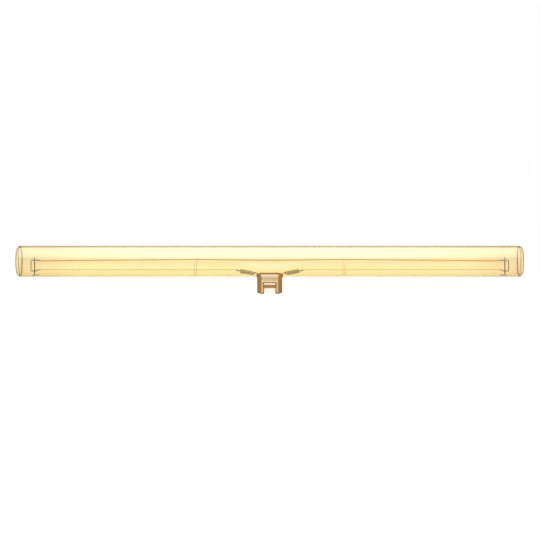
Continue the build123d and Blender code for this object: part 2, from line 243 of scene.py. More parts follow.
for hand, side in sides.items():
    node = f"{hand}_lead_in_wire"
    low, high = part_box(node)
    inner_x, outer_x = ends_along(node, side)
    foot_x = inner_x + side * lead_wire / 2
    tail_x = outer_x - side * lead_wire / 2
    crest_x = tail_x - side * lead_hook_lean
    crest_height = high.z - lead_wire / 2
    run_height = stem_high.z + lead_bend + lead_lift
    lead = bend_wire(f"{hand}_lead_in", [
        (foot_x, 0, low.z),
        (foot_x, 0, run_height),
        (crest_x - side * (lead_crest + lead_ramp), 0, run_height),
        (crest_x - side * lead_crest, 0, crest_height),
        (crest_x, 0, crest_height),
        (tail_x, 0, crest_height - lead_hook_drop)], lead_bend, lead_wire)
    fit(lead, browned_iron, "wire_steel", node)

# Coil springs
# Close-wound extension springs of bright spring steel, with an open hook at each end in the dark finish of
# the browned iron wire.
# They hang between the lead-in wires and the return wires and keep those tight as the lamp warms up.
spring_wire = 0.84 * mm
spring_diameter = 4.4 * mm
spring_turns = 15
spring_turn_steps = 20
spring_length = 12.6 * mm
spring_loop_leg = 1.8 * mm
spring_slope = radians(10.3)
spring_inner_x = 16.6 * mm
spring_height = 20.4 * mm
coil_radius = (spring_diameter - spring_wire) / 2
hook_steps = 12
hook_bend = 0.12 * mm

# Bright spring steel: cooler and smoother than plated wire, darker in the grooves between its turns.
spring_grit = 0.5 * mm
spring_steel, tree = new_finish("bright_spring_steel")
place = add_node(tree, "ShaderNodeTexCoord")
grit = add_node(tree, "ShaderNodeTexNoise", {
    "Vector": place.outputs["Object"], "Scale": 1 / spring_grit, "Detail": 3.0})
steel = add_node(tree, "ShaderNodeValToRGB", {"Fac": grit.outputs["Fac"]},
    stops=[(0.3, linear("AAAC92")), (0.7, linear("C3C4AA"))])
drawn_finish = add_node(tree, "ShaderNodeMapRange", {
    "Value": grit.outputs["Fac"], "To Min": 0.2, "To Max": 0.34})
shader = add_node(tree, "ShaderNodeBsdfPrincipled", {
    "Base Color": steel.outputs["Color"], "Metallic": 1.0, "Roughness": drawn_finish.outputs["Result"]})
add_node(tree, "ShaderNodeOutputMaterial", {"Surface": shader.outputs["BSDF"]})


def brown(piece, test):
    """Gives browned iron to the faces of a piece that pass a test."""
    piece.data.materials.append(browned_iron)
    for face in piece.data.polygons:
        if test(face):
            face.material_index = 1


for hand, side in sides.items():
    start = Vector((coil_radius, 0, 0))
    end = Vector((coil_radius, 0, spring_length))
    coil = start_wire(f"{hand}_coil_spring", start)
    bpy.ops.object.mode_set(mode="OBJECT")
    winding = coil.modifiers.new("Winding", "SCREW")
    winding.angle = 2 * pi
    winding.iterations = spring_turns
    winding.steps = spring_turn_steps
    winding.render_steps = spring_turn_steps
    winding.screw_offset = spring_length / spring_turns
    bpy.ops.object.modifier_apply(modifier=winding.name)
    hook = [Vector((coil_radius * cos(pi * i / hook_steps), 0, coil_radius * sin(pi * i / hook_steps)))
            for i in range(hook_steps - 1)]
    inner_hook = [Vector((point.x, 0, -point.z)) for point in hook]
    outer_hook = [end] + [Vector((point.x, 0, spring_length + spring_loop_leg + point.z)) for point in hook]
    for line in (inner_hook, outer_hook):
        select_where(coil, "vertices", lambda v: (v.co - line[0]).length < point_reach)
        extrude_through(line)
    bpy.ops.object.mode_set(mode="OBJECT")
    coil = draw_wire(coil, (inner_hook[-1], outer_hook[-1]), hook_bend, spring_wire)
    hooks = {face.index for face in coil.data.polygons if not 0 < face.center.z < spring_length}
    axis = Vector((side * cos(spring_slope), 0, sin(spring_slope)))
    across = Vector((0, 1, 0))
    turned = Matrix((across, axis.cross(across), axis)).transposed().to_4x4()
    coil.matrix_world = Matrix.Translation((side * spring_inner_x, 0, spring_height)) @ turned
    select_only(coil)
    bpy.ops.object.transform_apply(location=True, rotation=True, scale=True)
    fit(coil, spring_steel, "spring_steel", f"{hand}_spring")
    brown(coil, lambda face: face.index in hooks)

# Return wires
# Thin nickel-plated iron wire, drawn straight along the lower part of the tube from each end link to its
# spring. Its inner end is bent down through the spring's outer hook and given the dark browned-iron finish.
return_wire = 0.4 * mm
return_bend = 0.4 * mm
return_hook_drop = 1.72 * mm
return_hook_lean = 0.32 * mm
return_dark_length = 2.2 * mm

# Drawn nickel-plated iron: a bright grey metal, with fine lengthwise die lines that blur its reflections.
die_line = 0.35 * mm
wire_nickel, tree = new_finish("drawn_nickel_wire")
place = add_node(tree, "ShaderNodeTexCoord")
along = add_node(tree, "ShaderNodeMapping", {"Vector": place.outputs["Object"], "Scale": (0.08, 1.0, 1.0)})
lines = add_node(tree, "ShaderNodeTexNoise", {
    "Vector": along.outputs["Vector"], "Scale": 1 / die_line, "Detail": 2.0})
plating = add_node(tree, "ShaderNodeValToRGB", {"Fac": lines.outputs["Fac"]},
    stops=[(0.3, linear("928C7C")), (0.75, linear("B2AC9C"))])
polish = add_node(tree, "ShaderNodeMapRange", {
    "Value": lines.outputs["Fac"], "To Min": 0.26, "To Max": 0.44})
shader = add_node(tree, "ShaderNodeBsdfPrincipled", {
    "Base Color": plating.outputs["Color"], "Metallic": 1.0, "Roughness": polish.outputs["Result"]})
add_node(tree, "ShaderNodeOutputMaterial", {"Surface": shader.outputs["BSDF"]})

return_height = {}
for hand, side in sides.items():
    node = f"{hand}_return_wire"
    low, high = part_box(node)
    inner_x, far_x = ends_along(node, side)
    hook_x = inner_x + side * return_wire / 2
    height = high.z - return_wire / 2
    return_height[hand] = height
    wire = bend_wire(f"{hand}_return", [
        (far_x, 0, height),
        (hook_x, 0, height),
        (hook_x + side * return_hook_lean, 0, height - return_hook_drop)], return_bend, return_wire)
    fit(wire, wire_nickel, "wire_steel", node)
    brown(wire, lambda face: abs(face.center.x) < abs(hook_x) + return_dark_length)

# Filament terminals and end links
# Flat iron tabs are crimped on the filament's two ends. An iron wire is welded on each tab, goes round
# past the end support and comes back to the return wire lower down. The weld's heat browned them all.
link_wire = 0.75 * mm
link_bend = 0.8 * mm
link_ramp = 1.7 * mm
link_on_tab = 3.8 * mm
terminal_edge = 0.05 * mm
end_post_inset = 18.5 * mm
end_post_x = {hand: side * (cad_box[1].x - end_post_inset) for hand, side in sides.items()}
for hand, side in sides.items():
    low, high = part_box(f"{hand}_end_link")
    inner_x, outer_x = ends_along(f"{hand}_end_link", side)
    tab_end = ends_along(f"{hand}_filament_terminal", side)[1]
    post_x = end_post_x[hand]
    bend_x = outer_x - side * link_wire / 2
    upper = high.z - link_wire / 2
    lower = low.z + link_wire / 2
    link = bend_wire(f"{hand}_link", [
        (tab_end - side * link_on_tab, 0, upper),
        (bend_x, 0, upper),
        (bend_x, 0, lower),
        (post_x - side * link_ramp, 0, lower),
        (post_x - side * 2 * link_ramp, 0, return_height[hand]),
        (inner_x, 0, return_height[hand])], link_bend, link_wire)
    fit(link, browned_iron, "wire_steel", f"{hand}_end_link")
    tab = soften(f"{hand}_filament_terminal", f"{hand}_terminal", terminal_edge)
    fit(tab, browned_iron, "wire_steel", f"{hand}_filament_terminal")

# LED filament
# One flexible strand: a thin strip of chips, cast all round in silicone with yellow-orange phosphor.
# It rests in the middle supports, sags a little between them and is pulled straight to its ends.
filament_diameter = 1.4 * mm
filament_sag = 0.7 * mm
filament_end_drop = 1.1 * mm
filament_bend = 12.0 * mm
mid_support_x = 72.0 * mm
strand_low, strand_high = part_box("led_filament")
strand_end_x = strand_high.x
strand_end_height = strand_low.z + filament_diameter / 2
strand_height = strand_end_height + filament_end_drop
strand = bend_wire("filament_strand", [
    (-strand_end_x, 0, strand_end_height),
    (-mid_support_x, 0, strand_height),
    (0, 0, strand_height - filament_sag),
    (mid_support_x, 0, strand_height),
    (strand_end_x, 0, strand_end_height)], filament_bend, filament_diameter)

# Phosphor silicone: matt and slightly waxy, with the chips as paler spots at even steps along the strand.
# A wave texture of scale 1 repeats every 2 pi / 20 m, so the pitch is set against that.
chip_pitch = 2.4 * mm
skin_grain = 0.4 * mm
phosphor, tree = new_finish("phosphor_silicone")
place = add_node(tree, "ShaderNodeTexCoord")
chips = add_node(tree, "ShaderNodeTexWave", {
    "Vector": place.outputs["Object"], "Scale": 2 * pi / 20 / chip_pitch, "Distortion": 0.0},
    bands_direction="X")
chip_tone = add_node(tree, "ShaderNodeValToRGB", {"Fac": chips.outputs["Fac"]},
    stops=[(0.35, linear("FBCB5E")), (0.9, linear("FFDA86"))])
skin = add_node(tree, "ShaderNodeTexNoise", {
    "Vector": place.outputs["Object"], "Scale": 1 / skin_grain, "Detail": 2.0})
skin_bump = add_node(tree, "ShaderNodeBump", {
    "Height": skin.outputs["Fac"], "Strength": 0.2, "Distance": 0.05 * mm})
shader = add_node(tree, "ShaderNodeBsdfPrincipled", {
    "Base Color": chip_tone.outputs["Color"], "Roughness": 0.55, "Normal": skin_bump.outputs["Normal"]})
add_node(tree, "ShaderNodeOutputMaterial", {"Surface": shader.outputs["BSDF"]})
fit(strand, phosphor, "phosphor_orange", "led_filament")

# Wire supports
# Hairpins of springy wire that stand on the bottom of the glass. The thin middle ones are polished nickel,
# hold the filament and have a strut to each side. The thick end ones are tempered steel on two browned feet.
mid_wire = 0.5 * mm
mid_step = 2.2 * mm
mid_lean = 1.2 * mm
mid_strut_drop = 1.9 * mm
mid_bend = 0.8 * mm
end_wire = 0.8 * mm
end_spread = 1.3 * mm
end_bend_ease = 0.1 * mm
end_browned = 0.6 * end_wire
seat_gap = 0.05 * mm
glass_wall = 1.0 * mm
tube_low, tube_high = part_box("glass_tube")
tube_radius = (tube_high.z - tube_low.z) / 2
axis_height = (tube_high.z + tube_low.z) / 2
bore_radius = tube_radius - glass_wall


def foot_height(wire, across_tube):
    """Height of a wire's middle where it lies along the bottom of the bore, so far from the middle."""
    return axis_height - sqrt((bore_radius - wire / 2 - seat_gap) ** 2 - across_tube ** 2)


# Straw-tempered steel: the springy end hairpins, heated to a dull yellow-brown.
temper_cloud = 1.0 * mm
tempered_steel, tree = new_finish("straw_tempered_steel")
place = add_node(tree, "ShaderNodeTexCoord")
clouds = add_node(tree, "ShaderNodeTexNoise", {
    "Vector": place.outputs["Object"], "Scale": 1 / temper_cloud, "Detail": 2.0})
straw = add_node(tree, "ShaderNodeValToRGB", {"Fac": clouds.outputs["Fac"]},
    stops=[(0.3, linear("7E661E")), (0.7, linear("987E2E"))])
shader = add_node(tree, "ShaderNodeBsdfPrincipled", {
    "Base Color": straw.outputs["Color"], "Roughness": 0.55, "Specular IOR Level": 0.12})
add_node(tree, "ShaderNodeOutputMaterial", {"Surface": shader.outputs["BSDF"]})

# Polished nickel: the middle hairpins are bright, so they take on the colour of the glass around them.
polish_mark = 0.4 * mm
bright_nickel, tree = new_finish("polished_nickel_wire")
place = add_node(tree, "ShaderNodeTexCoord")
marks = add_node(tree, "ShaderNodeTexNoise", {
    "Vector": place.outputs["Object"], "Scale": 1 / polish_mark, "Detail": 2.0})
nickel_tone = add_node(tree, "ShaderNodeValToRGB", {"Fac": marks.outputs["Fac"]},
    stops=[(0.3, linear("D8D0BC")), (0.7, linear("E8E2D2"))])
shader = add_node(tree, "ShaderNodeBsdfPrincipled", {
    "Base Color": nickel_tone.outputs["Color"], "Metallic": 1.0, "Roughness": 0.2})
add_node(tree, "ShaderNodeOutputMaterial", {"Surface": shader.outputs["BSDF"]})

for hand, side in sides.items():
    low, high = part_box(f"{hand}_mid_support")
    leg_x = side * mid_support_x
    strut_x = leg_x + side * mid_step
    leg = (filament_diameter + mid_wire) / 2 + seat_gap
    foot = foot_height(mid_wire, leg)
    strut_height = axis_height - mid_strut_drop
    half = [
        (strut_x, high.y, strut_height),
        (strut_x, leg, strut_height),
        (strut_x, leg, foot),
        (leg_x, leg, foot),
        (leg_x, leg, strand_height),
        (leg_x - side * mid_lean, leg, high.z - mid_wire / 2)]
    other_half = [(x, -y, z) for x, y, z in reversed(half)]
    wire = bend_wire(f"{hand}_middle_hairpin", half + other_half, mid_bend, mid_wire)
    fit(wire, bright_nickel, "wire_steel", f"{hand}_mid_support")

    low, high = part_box(f"{hand}_end_support")
    inner_foot_x, outer_foot_x = ends_along(f"{hand}_end_support", side)
    post_x = end_post_x[hand]
    leg = (link_wire + end_wire) / 2 + seat_gap
    stance = leg + end_spread
    foot = foot_height(end_wire, stance)
    top = high.z - end_wire / 2
    wire = bend_wire(f"{hand}_end_hairpin", [
        (outer_foot_x, -stance, foot),
        (post_x, -stance, foot),
        (post_x, -leg, top),
        (post_x, leg, top),
        (post_x, stance, foot),
        (inner_foot_x, stance, foot)], leg - end_bend_ease, end_wire)
    fit(wire, tempered_steel, "wire_steel", f"{hand}_end_support")
    brown(wire, lambda face: face.center.z < foot + end_browned)

# Glass tube
# Drawn soda-lime tube with a thin gold lustre, its ends closed in the flame to soft domes.
# A slot underneath takes the stem, and the cap is cemented on over it.
end_corner = 3.5 * mm
end_crown = 75.0 * mm
tube_segments = 160
crown_rings = 14
crown_edge = 3.4 * mm
slot_gap = 0.02 * mm
slot_depth = 10.0 * mm
half_length = (tube_high.x - tube_low.x) / 2


def crown_height(radius):
    """Distance of the end's crown from the middle of its sphere, at a distance from the tube's axis."""
    return sqrt(end_crown ** 2 - radius ** 2)


def on_rim(vertex):
    """True for a vertex on one of the tube's two sharp rims."""
    from_axis = sqrt(vertex.co.y ** 2 + (vertex.co.z - axis_height) ** 2)
    return from_axis > 0.99 * tube_radius


def cut_or_join(piece, tool, operation):
    """Cuts a tool out of a piece, or joins it on, and removes the tool."""
    select_only(piece)
    step = piece.modifiers.new(operation, "BOOLEAN")
    step.object = tool
    step.operation = operation
    step.solver = "EXACT"
    bpy.ops.object.modifier_apply(modifier=step.name)
    bpy.data.objects.remove(tool)


rim_x = half_length - end_crown + crown_height(tube_radius)
bpy.ops.object.select_all(action="DESELECT")
bpy.ops.mesh.primitive_cylinder_add(
    vertices=tube_segments, radius=tube_radius, depth=2 * rim_x,
    location=(0, 0, axis_height), rotation=(0, pi / 2, 0))
tube = bpy.context.object
tube.name = "gold_tube"
bpy.ops.object.transform_apply(location=True, rotation=True, scale=True)
select_where(tube, "polygons", lambda face: abs(face.normal.x) > 0.9)
outer = tube_radius
for ring in range(crown_rings):
    inner = (tube_radius - crown_edge) * (1 - ring / crown_rings)
    bpy.ops.mesh.inset(thickness=outer - inner, depth=crown_height(inner) - crown_height(outer))
    outer = inner
bpy.ops.mesh.poke(offset=crown_height(0) - crown_height(outer))
bpy.ops.object.mode_set(mode="OBJECT")
rim = {vertex.index for vertex in tube.data.vertices if on_rim(vertex)}
side_of = {vertex.index: vertex.co.x > 0 for vertex in tube.data.vertices}
select_where(tube, "edges", lambda edge: rim.issuperset(edge.vertices)
             and side_of[edge.vertices[0]] == side_of[edge.vertices[1]])
turn = pi / 2 - asin(tube_radius / end_crown)
bpy.ops.mesh.bevel(offset_type="OFFSET", offset=end_corner * tan(turn / 2), segments=10, affect="EDGES")
bpy.ops.object.mode_set(mode="OBJECT")
wall = tube.modifiers.new("Glass wall", "SOLIDIFY")
wall.thickness = glass_wall
wall.offset = -1
wall.use_even_offset = True
bpy.ops.object.modifier_apply(modifier=wall.name)

# The slot's ends are rounded to almost half its width, so that a narrow flat is left between two corners.
stem_length = stem_high.x - stem_low.x
stem_width = stem_high.y - stem_low.y
slot_round = 0.999 * stem_width / 2
bpy.ops.object.select_all(action="DESELECT")
bpy.ops.mesh.primitive_cube_add(size=1, location=(0, 0, (stem_low.z + stem_high.z) / 2))
cutter = bpy.context.object
cutter.scale = (stem_length + 2 * slot_gap, stem_width + 2 * slot_gap, slot_depth)
bpy.ops.object.transform_apply(location=True, rotation=True, scale=True)
heights = [vertex.co.z for vertex in cutter.data.vertices]
select_where(cutter, "edges", lambda edge: abs(heights[edge.vertices[0]] - heights[edge.vertices[1]]) > mm)
bpy.ops.mesh.bevel(offset_type="OFFSET", offset=slot_round, segments=12, affect="EDGES")
bpy.ops.object.mode_set(mode="OBJECT")
cut_or_join(tube, cutter, "DIFFERENCE")
bpy.ops.object.shade_smooth_by_angle(angle=radians(40))

# Gold lustre glass: clear and smooth, tinted a pale gold by each wall, with faint draw lines along the tube.
# Where each end was closed, a smoky olive line runs round it, deeper at the back and near the tube's top and
# bottom, where the eye looks along more of the glass.
draw_line = 3.0 * mm
seal_zone = 10.0 * mm
seal_inset = 4.5 * mm
seal_line = 0.8 * mm
seal_back = (-5.0 * mm, 5.0 * mm)
seal_limb = (12.5 * mm, 14.5 * mm)
clear = (1.0, 1.0, 1.0, 1.0)
sealed = (0.5, 0.47, 0.28, 1.0)
gold_glass, tree = new_finish("gold_lustre_glass")
place = add_node(tree, "ShaderNodeTexCoord")
along = add_node(tree, "ShaderNodeMapping", {"Vector": place.outputs["Object"], "Scale": (0.02, 1.0, 1.0)})
streaks = add_node(tree, "ShaderNodeTexNoise", {
    "Vector": along.outputs["Vector"], "Scale": 1 / draw_line, "Detail": 1.0})
lustre = add_node(tree, "ShaderNodeValToRGB", {"Fac": streaks.outputs["Fac"]},
    stops=[(0.3, linear("FFF1CB")), (0.7, linear("FFF3D3"))])
parts = add_node(tree, "ShaderNodeSeparateXYZ", {"Vector": place.outputs["Object"]})
from_middle = add_node(tree, "ShaderNodeMath", {0: parts.outputs["X"]}, operation="ABSOLUTE")
along_end = add_node(tree, "ShaderNodeMapRange", {
    "Value": from_middle.outputs[0], "From Min": half_length - seal_zone, "From Max": half_length})
end_tone = add_node(tree, "ShaderNodeValToRGB", {"Fac": along_end.outputs["Result"]}, stops=[
    (1 - (seal_inset + seal_line) / seal_zone, clear),
    (1 - seal_inset / seal_zone, sealed),
    (1 - (seal_inset - seal_line) / seal_zone, clear)])
to_back = add_node(tree, "ShaderNodeMapRange", {
    "Value": parts.outputs["Y"], "From Min": seal_back[0], "From Max": seal_back[1],
    "To Min": 1.0, "To Max": 3.0})
off_axis = add_node(tree, "ShaderNodeMath", {
    0: parts.outputs["Z"], 1: axis_height}, operation="SUBTRACT")
off_axis = add_node(tree, "ShaderNodeMath", {0: off_axis.outputs[0]}, operation="ABSOLUTE")
to_limb = add_node(tree, "ShaderNodeMapRange", {
    "Value": off_axis.outputs[0], "From Min": seal_limb[0], "From Max": seal_limb[1], "To Max": 3.0})
depth = add_node(tree, "ShaderNodeMath", {
    0: to_back.outputs["Result"], 1: to_limb.outputs["Result"]}, operation="ADD")
deepened = add_node(tree, "ShaderNodeGamma", {
    "Color": end_tone.outputs["Color"], "Gamma": depth.outputs[0]})
tint = add_node(tree, "ShaderNodeMix", {
    "Factor": 1.0, 6: lustre.outputs["Color"], 7: deepened.outputs["Color"]},
    data_type="RGBA", blend_type="MULTIPLY")
shader = add_node(tree, "ShaderNodeBsdfPrincipled", {
    "Base Color": tint.outputs[2], "Roughness": 0.0, "IOR": 1.5, "Transmission Weight": 1.0,
    "Coat Weight": 0.3, "Coat Roughness": 0.02, "Coat IOR": 1.7})
add_node(tree, "ShaderNodeOutputMaterial", {"Surface": shader.outputs["BSDF"]})
fit(tube, gold_glass, "gold_glass", "glass_tube")

# Driver
# A small fibreglass board with a bridge rectifier, a regulator and a fusible resistor soldered to it.
# It lies on the insulator inside the cap, and the contacts and lead-in wires come through its holes.

# Solder mask: a green varnish, satin, with the fibreglass weave just showing through.
mask_weave = 0.6 * mm
board_mask, tree = new_finish("green_solder_mask")
place = add_node(tree, "ShaderNodeTexCoord")
weave = add_node(tree, "ShaderNodeTexNoise", {
    "Vector": place.outputs["Object"], "Scale": 1 / mask_weave, "Detail": 2.0})
mask_tone = add_node(tree, "ShaderNodeValToRGB", {"Fac": weave.outputs["Fac"]},
    stops=[(0.0, linear("1E5A34")), (1.0, linear("2F7447"))])
shader = add_node(tree, "ShaderNodeBsdfPrincipled", {
    "Base Color": mask_tone.outputs["Color"], "Roughness": 0.35})
add_node(tree, "ShaderNodeOutputMaterial", {"Surface": shader.outputs["BSDF"]})

# Moulded epoxy: black, with the fine matt grain of the mould.
mould_grain = 0.15 * mm
chip_epoxy, tree = new_finish("moulded_black_epoxy")
place = add_node(tree, "ShaderNodeTexCoord")
grain = add_node(tree, "ShaderNodeTexNoise", {
    "Vector": place.outputs["Object"], "Scale": 1 / mould_grain, "Detail": 1.0})
epoxy_tone = add_node(tree, "ShaderNodeValToRGB", {"Fac": grain.outputs["Fac"]},
    stops=[(0.0, linear("1B1B1C")), (1.0, linear("2A2A2C"))])
shader = add_node(tree, "ShaderNodeBsdfPrincipled", {
    "Base Color": epoxy_tone.outputs["Color"], "Roughness": 0.6})
add_node(tree, "ShaderNodeOutputMaterial", {"Surface": shader.outputs["BSDF"]})

# Resistor lacquer: a dull blue-grey dip with a slightly uneven gloss.
dip_run = 1.2 * mm
resistor_lacquer, tree = new_finish("grey_resistor_lacquer")
place = add_node(tree, "ShaderNodeTexCoord")
runs = add_node(tree, "ShaderNodeTexNoise", {
    "Vector": place.outputs["Object"], "Scale": 1 / dip_run, "Detail": 1.0})
lacquer_tone = add_node(tree, "ShaderNodeValToRGB", {"Fac": runs.outputs["Fac"]},
    stops=[(0.0, linear("8894A0")), (1.0, linear("9CA8B0"))])
gloss = add_node(tree, "ShaderNodeMapRange", {"Value": runs.outputs["Fac"], "To Min": 0.25, "To Max": 0.45})
shader = add_node(tree, "ShaderNodeBsdfPrincipled", {
    "Base Color": lacquer_tone.outputs["Color"], "Roughness": gloss.outputs["Result"]})
add_node(tree, "ShaderNodeOutputMaterial", {"Surface": shader.outputs["BSDF"]})

driver_finishes = {
    "driver_board": board_mask,
    "bridge_rectifier": chip_epoxy,
    "current_regulator": chip_epoxy,
    "fusible_resistor": resistor_lacquer}
for node, finish in driver_finishes.items():
    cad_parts[node].material_slots[0].material = finish

# Insulator
# One moulding of white heat-proof plastic: a plate that fills the cap and a hollow tongue below it.
# The tongue shows through the cap's window and notch and keeps the two contacts apart.
insulator_edge = 0.2 * mm

# Moulded white plastic: matt and finely grained, painted a brighter warm cream towards the top as a painted
# glow of the brass-coloured light in the window.
moulded_grain = 0.3 * mm
warm_glow_heights = (4.0 * mm, 10.0 * mm)
moulded_white, tree = new_finish("moulded_white_plastic")
place = add_node(tree, "ShaderNodeTexCoord")
grain = add_node(tree, "ShaderNodeTexNoise", {
    "Vector": place.outputs["Object"], "Scale": 1 / moulded_grain, "Detail": 2.0})
white_tone = add_node(tree, "ShaderNodeValToRGB", {"Fac": grain.outputs["Fac"]},
    stops=[(0.0, linear("EBE6DA")), (1.0, linear("F4F0E6"))])
parts = add_node(tree, "ShaderNodeSeparateXYZ", {"Vector": place.outputs["Object"]})
# Painted warm light: the plastic turns a brighter, warmer cream towards the top
warm_glow = add_node(tree, "ShaderNodeMapRange", {
    "Value": parts.outputs["Z"], "From Min": warm_glow_heights[0], "From Max": warm_glow_heights[1]})
glow_tone = add_node(tree, "ShaderNodeMix", {
    "Factor": warm_glow.outputs["Result"], 6: white_tone.outputs["Color"], 7: linear("FFEDC8")},
    data_type="RGBA")
grain_bump = add_node(tree, "ShaderNodeBump", {
    "Height": grain.outputs["Fac"], "Strength": 0.15, "Distance": 0.03 * mm})
shader = add_node(tree, "ShaderNodeBsdfPrincipled", {
    "Base Color": glow_tone.outputs[2], "Roughness": 0.5, "Normal": grain_bump.outputs["Normal"]})
add_node(tree, "ShaderNodeOutputMaterial", {"Surface": shader.outputs["BSDF"]})
insulator = soften("cap_insulator", "insulator_moulding", insulator_edge)
fit(insulator, moulded_white, "ceramic_white", "cap_insulator")

# Contacts
# Two strips of springy phosphor bronze, bowed out on both sides of the insulator's tongue.
# Their tails go up through the plate and are soldered into the driver board.
contact_edge = 0.06 * mm

# Rolled phosphor bronze: a warm bright metal with fine rolling lines along the strip.
rolling_line = 0.3 * mm
rolled_bronze, tree = new_finish("rolled_phosphor_bronze")
place = add_node(tree, "ShaderNodeTexCoord")
along = add_node(tree, "ShaderNodeMapping", {"Vector": place.outputs["Object"], "Scale": (1.0, 1.0, 0.06)})
lines = add_node(tree, "ShaderNodeTexNoise", {
    "Vector": along.outputs["Vector"], "Scale": 1 / rolling_line, "Detail": 2.0})
bronze_tone = add_node(tree, "ShaderNodeValToRGB", {"Fac": lines.outputs["Fac"]},
    stops=[(0.0, linear("C99B5A")), (1.0, linear("DDB673"))])
shader = add_node(tree, "ShaderNodeBsdfPrincipled", {
    "Base Color": bronze_tone.outputs["Color"], "Metallic": 1.0, "Roughness": 0.28})
add_node(tree, "ShaderNodeOutputMaterial", {"Surface": shader.outputs["BSDF"]})
for hand in sides:
    node = f"{hand}_contact"
    fit(soften(node, f"{hand}_contact_strip", contact_edge), rolled_bronze, "contact_brass", node)

# Basing cement
# Grey-white putty that is pressed into the saddle between the cap and the glass and baked hard.
# It shows only as a dull band through the glass, from above.
putty_grain = 0.5 * mm
basing_putty, tree = new_finish("baked_basing_putty")
place = add_node(tree, "ShaderNodeTexCoord")
grain = add_node(tree, "ShaderNodeTexNoise", {
    "Vector": place.outputs["Object"], "Scale": 1 / putty_grain, "Detail": 4.0})
putty_tone = add_node(tree, "ShaderNodeValToRGB", {"Fac": grain.outputs["Fac"]},
    stops=[(0.0, linear("CFC6B2")), (1.0, linear("E2DAC8"))])
shader = add_node(tree, "ShaderNodeBsdfPrincipled", {
    "Base Color": putty_tone.outputs["Color"], "Roughness": 0.9})
add_node(tree, "ShaderNodeOutputMaterial", {"Surface": shader.outputs["BSDF"]})
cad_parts["basing_cement"].material_slots[0].material = basing_putty

# Cap shell
# A deep-drawn cup of thin sheet, brass-plated and satin, with a flared saddle edge on the glass.
# The front and back are pierced with a window over a bar and a notch, and all cut edges are rolled.
cap_width = 25.0 * mm
cap_depth = 18.0 * mm
cap_corner = 4.4 * mm
cap_wall = 1.0 * mm
cap_seat_gap = 0.05 * mm
foot_reach = 8.2 * mm
foot_slant = 2.8 * mm
side_rise = 1.1 * mm
foot_roll = 0.4 * mm
opening_width = 11.6 * mm
opening_height = 11.4 * mm
opening_corner = 1.0 * mm
roll_width = 1.1 * mm
roll_depth = 0.75 * mm
roll_steps = (0, 22, 45, 67, 90)
bar_length = 12.6 * mm
bar_thickness = 1.6 * mm
bar_height = 3.35 * mm
bar_ramp = 0.9 * mm
bar_round = 0.3 * mm
bar_front = 8.4 * mm
bar_bottom = 6.1 * mm

# The wall goes up in rings, each so far below the glass and so far outward, in mm. The saddle cuts the last.
flare_rings = [(3.4, 0.0), (2.5, 0.05), (1.8, 0.14), (1.2, 0.29), (0.7, 0.46), (0.3, 0.6), (-1.6, 0.6)]
bpy.ops.object.select_all(action="DESELECT")
bpy.ops.mesh.primitive_plane_add(size=1)
shell = bpy.context.object
shell.name = "drawn_cap"
shell.scale = (cap_width, cap_depth, 1)
bpy.ops.object.transform_apply(location=True, rotation=True, scale=True)
bpy.ops.object.mode_set(mode="EDIT")
bpy.ops.mesh.select_all(action="SELECT")
bpy.ops.mesh.bevel(offset_type="OFFSET", offset=cap_corner, segments=12, affect="VERTICES")
bpy.ops.mesh.select_all(action="SELECT")
bpy.ops.mesh.delete(type="ONLY_FACE")
bpy.ops.mesh.select_all(action="SELECT")
flared = 0.0
for below_glass, outward in flare_rings:
    bpy.ops.mesh.extrude_region_move(TRANSFORM_OT_translate={"value": (0, 0, mm)})
    wider = (cap_width / 2 + outward * mm) / (cap_width / 2 + flared * mm)
    deeper = (cap_depth / 2 + outward * mm) / (cap_depth / 2 + flared * mm)
    bpy.ops.transform.resize(value=(wider, deeper, 1), center_override=(0, 0, 0))
    flared = outward
    bpy.ops.object.mode_set(mode="OBJECT")
    for vertex in shell.data.vertices:
        if vertex.select:
            vertex.co.z = axis_height - sqrt((tube_radius + below_glass * mm) ** 2 - vertex.co.y ** 2)
    bpy.ops.object.mode_set(mode="EDIT")
bpy.ops.object.mode_set(mode="OBJECT")
for vertex in shell.data.vertices:
    if vertex.co.z == 0:
        vertex.co.z = side_rise * min(max((abs(vertex.co.x) - foot_reach) / foot_slant, 0), 1)
bpy.ops.object.mode_set(mode="EDIT")
bpy.ops.mesh.select_all(action="SELECT")
bpy.ops.mesh.normals_make_consistent(inside=False)
bpy.ops.object.mode_set(mode="OBJECT")
sheet = shell.modifiers.new("Sheet thickness", "SOLIDIFY")
sheet.thickness = cap_wall
sheet.offset = -1
sheet.use_even_offset = True
bpy.ops.object.modifier_apply(modifier=sheet.name)


def on_lower_rim(vertex):
    """True for a vertex on the outer lower edge of the cap."""
    past_x = max(abs(vertex.co.x) - cap_width / 2 + cap_corner, 0)
    past_y = max(abs(vertex.co.y) - cap_depth / 2 + cap_corner, 0)
    on_outside = sqrt(past_x ** 2 + past_y ** 2) > cap_corner - cap_wall / 5
    return on_outside and vertex.co.z < side_rise + point_reach


lower_rim = {vertex.index for vertex in shell.data.vertices if on_lower_rim(vertex)}
select_where(shell, "edges", lambda edge: lower_rim.issuperset(edge.vertices))
bpy.ops.mesh.bevel(offset_type="OFFSET", offset=foot_roll, segments=4, affect="EDGES")
bpy.ops.object.mode_set(mode="OBJECT")

# The saddle is cut by a cylinder a little wider than the glass.
bpy.ops.object.select_all(action="DESELECT")
bpy.ops.mesh.primitive_cylinder_add(
    vertices=tube_segments, radius=tube_radius + cap_seat_gap, depth=2 * cap_width,
    location=(0, 0, axis_height), rotation=(0, pi / 2, 0))
bpy.ops.object.transform_apply(location=True, rotation=True, scale=True)
cut_or_join(shell, bpy.context.object, "DIFFERENCE")

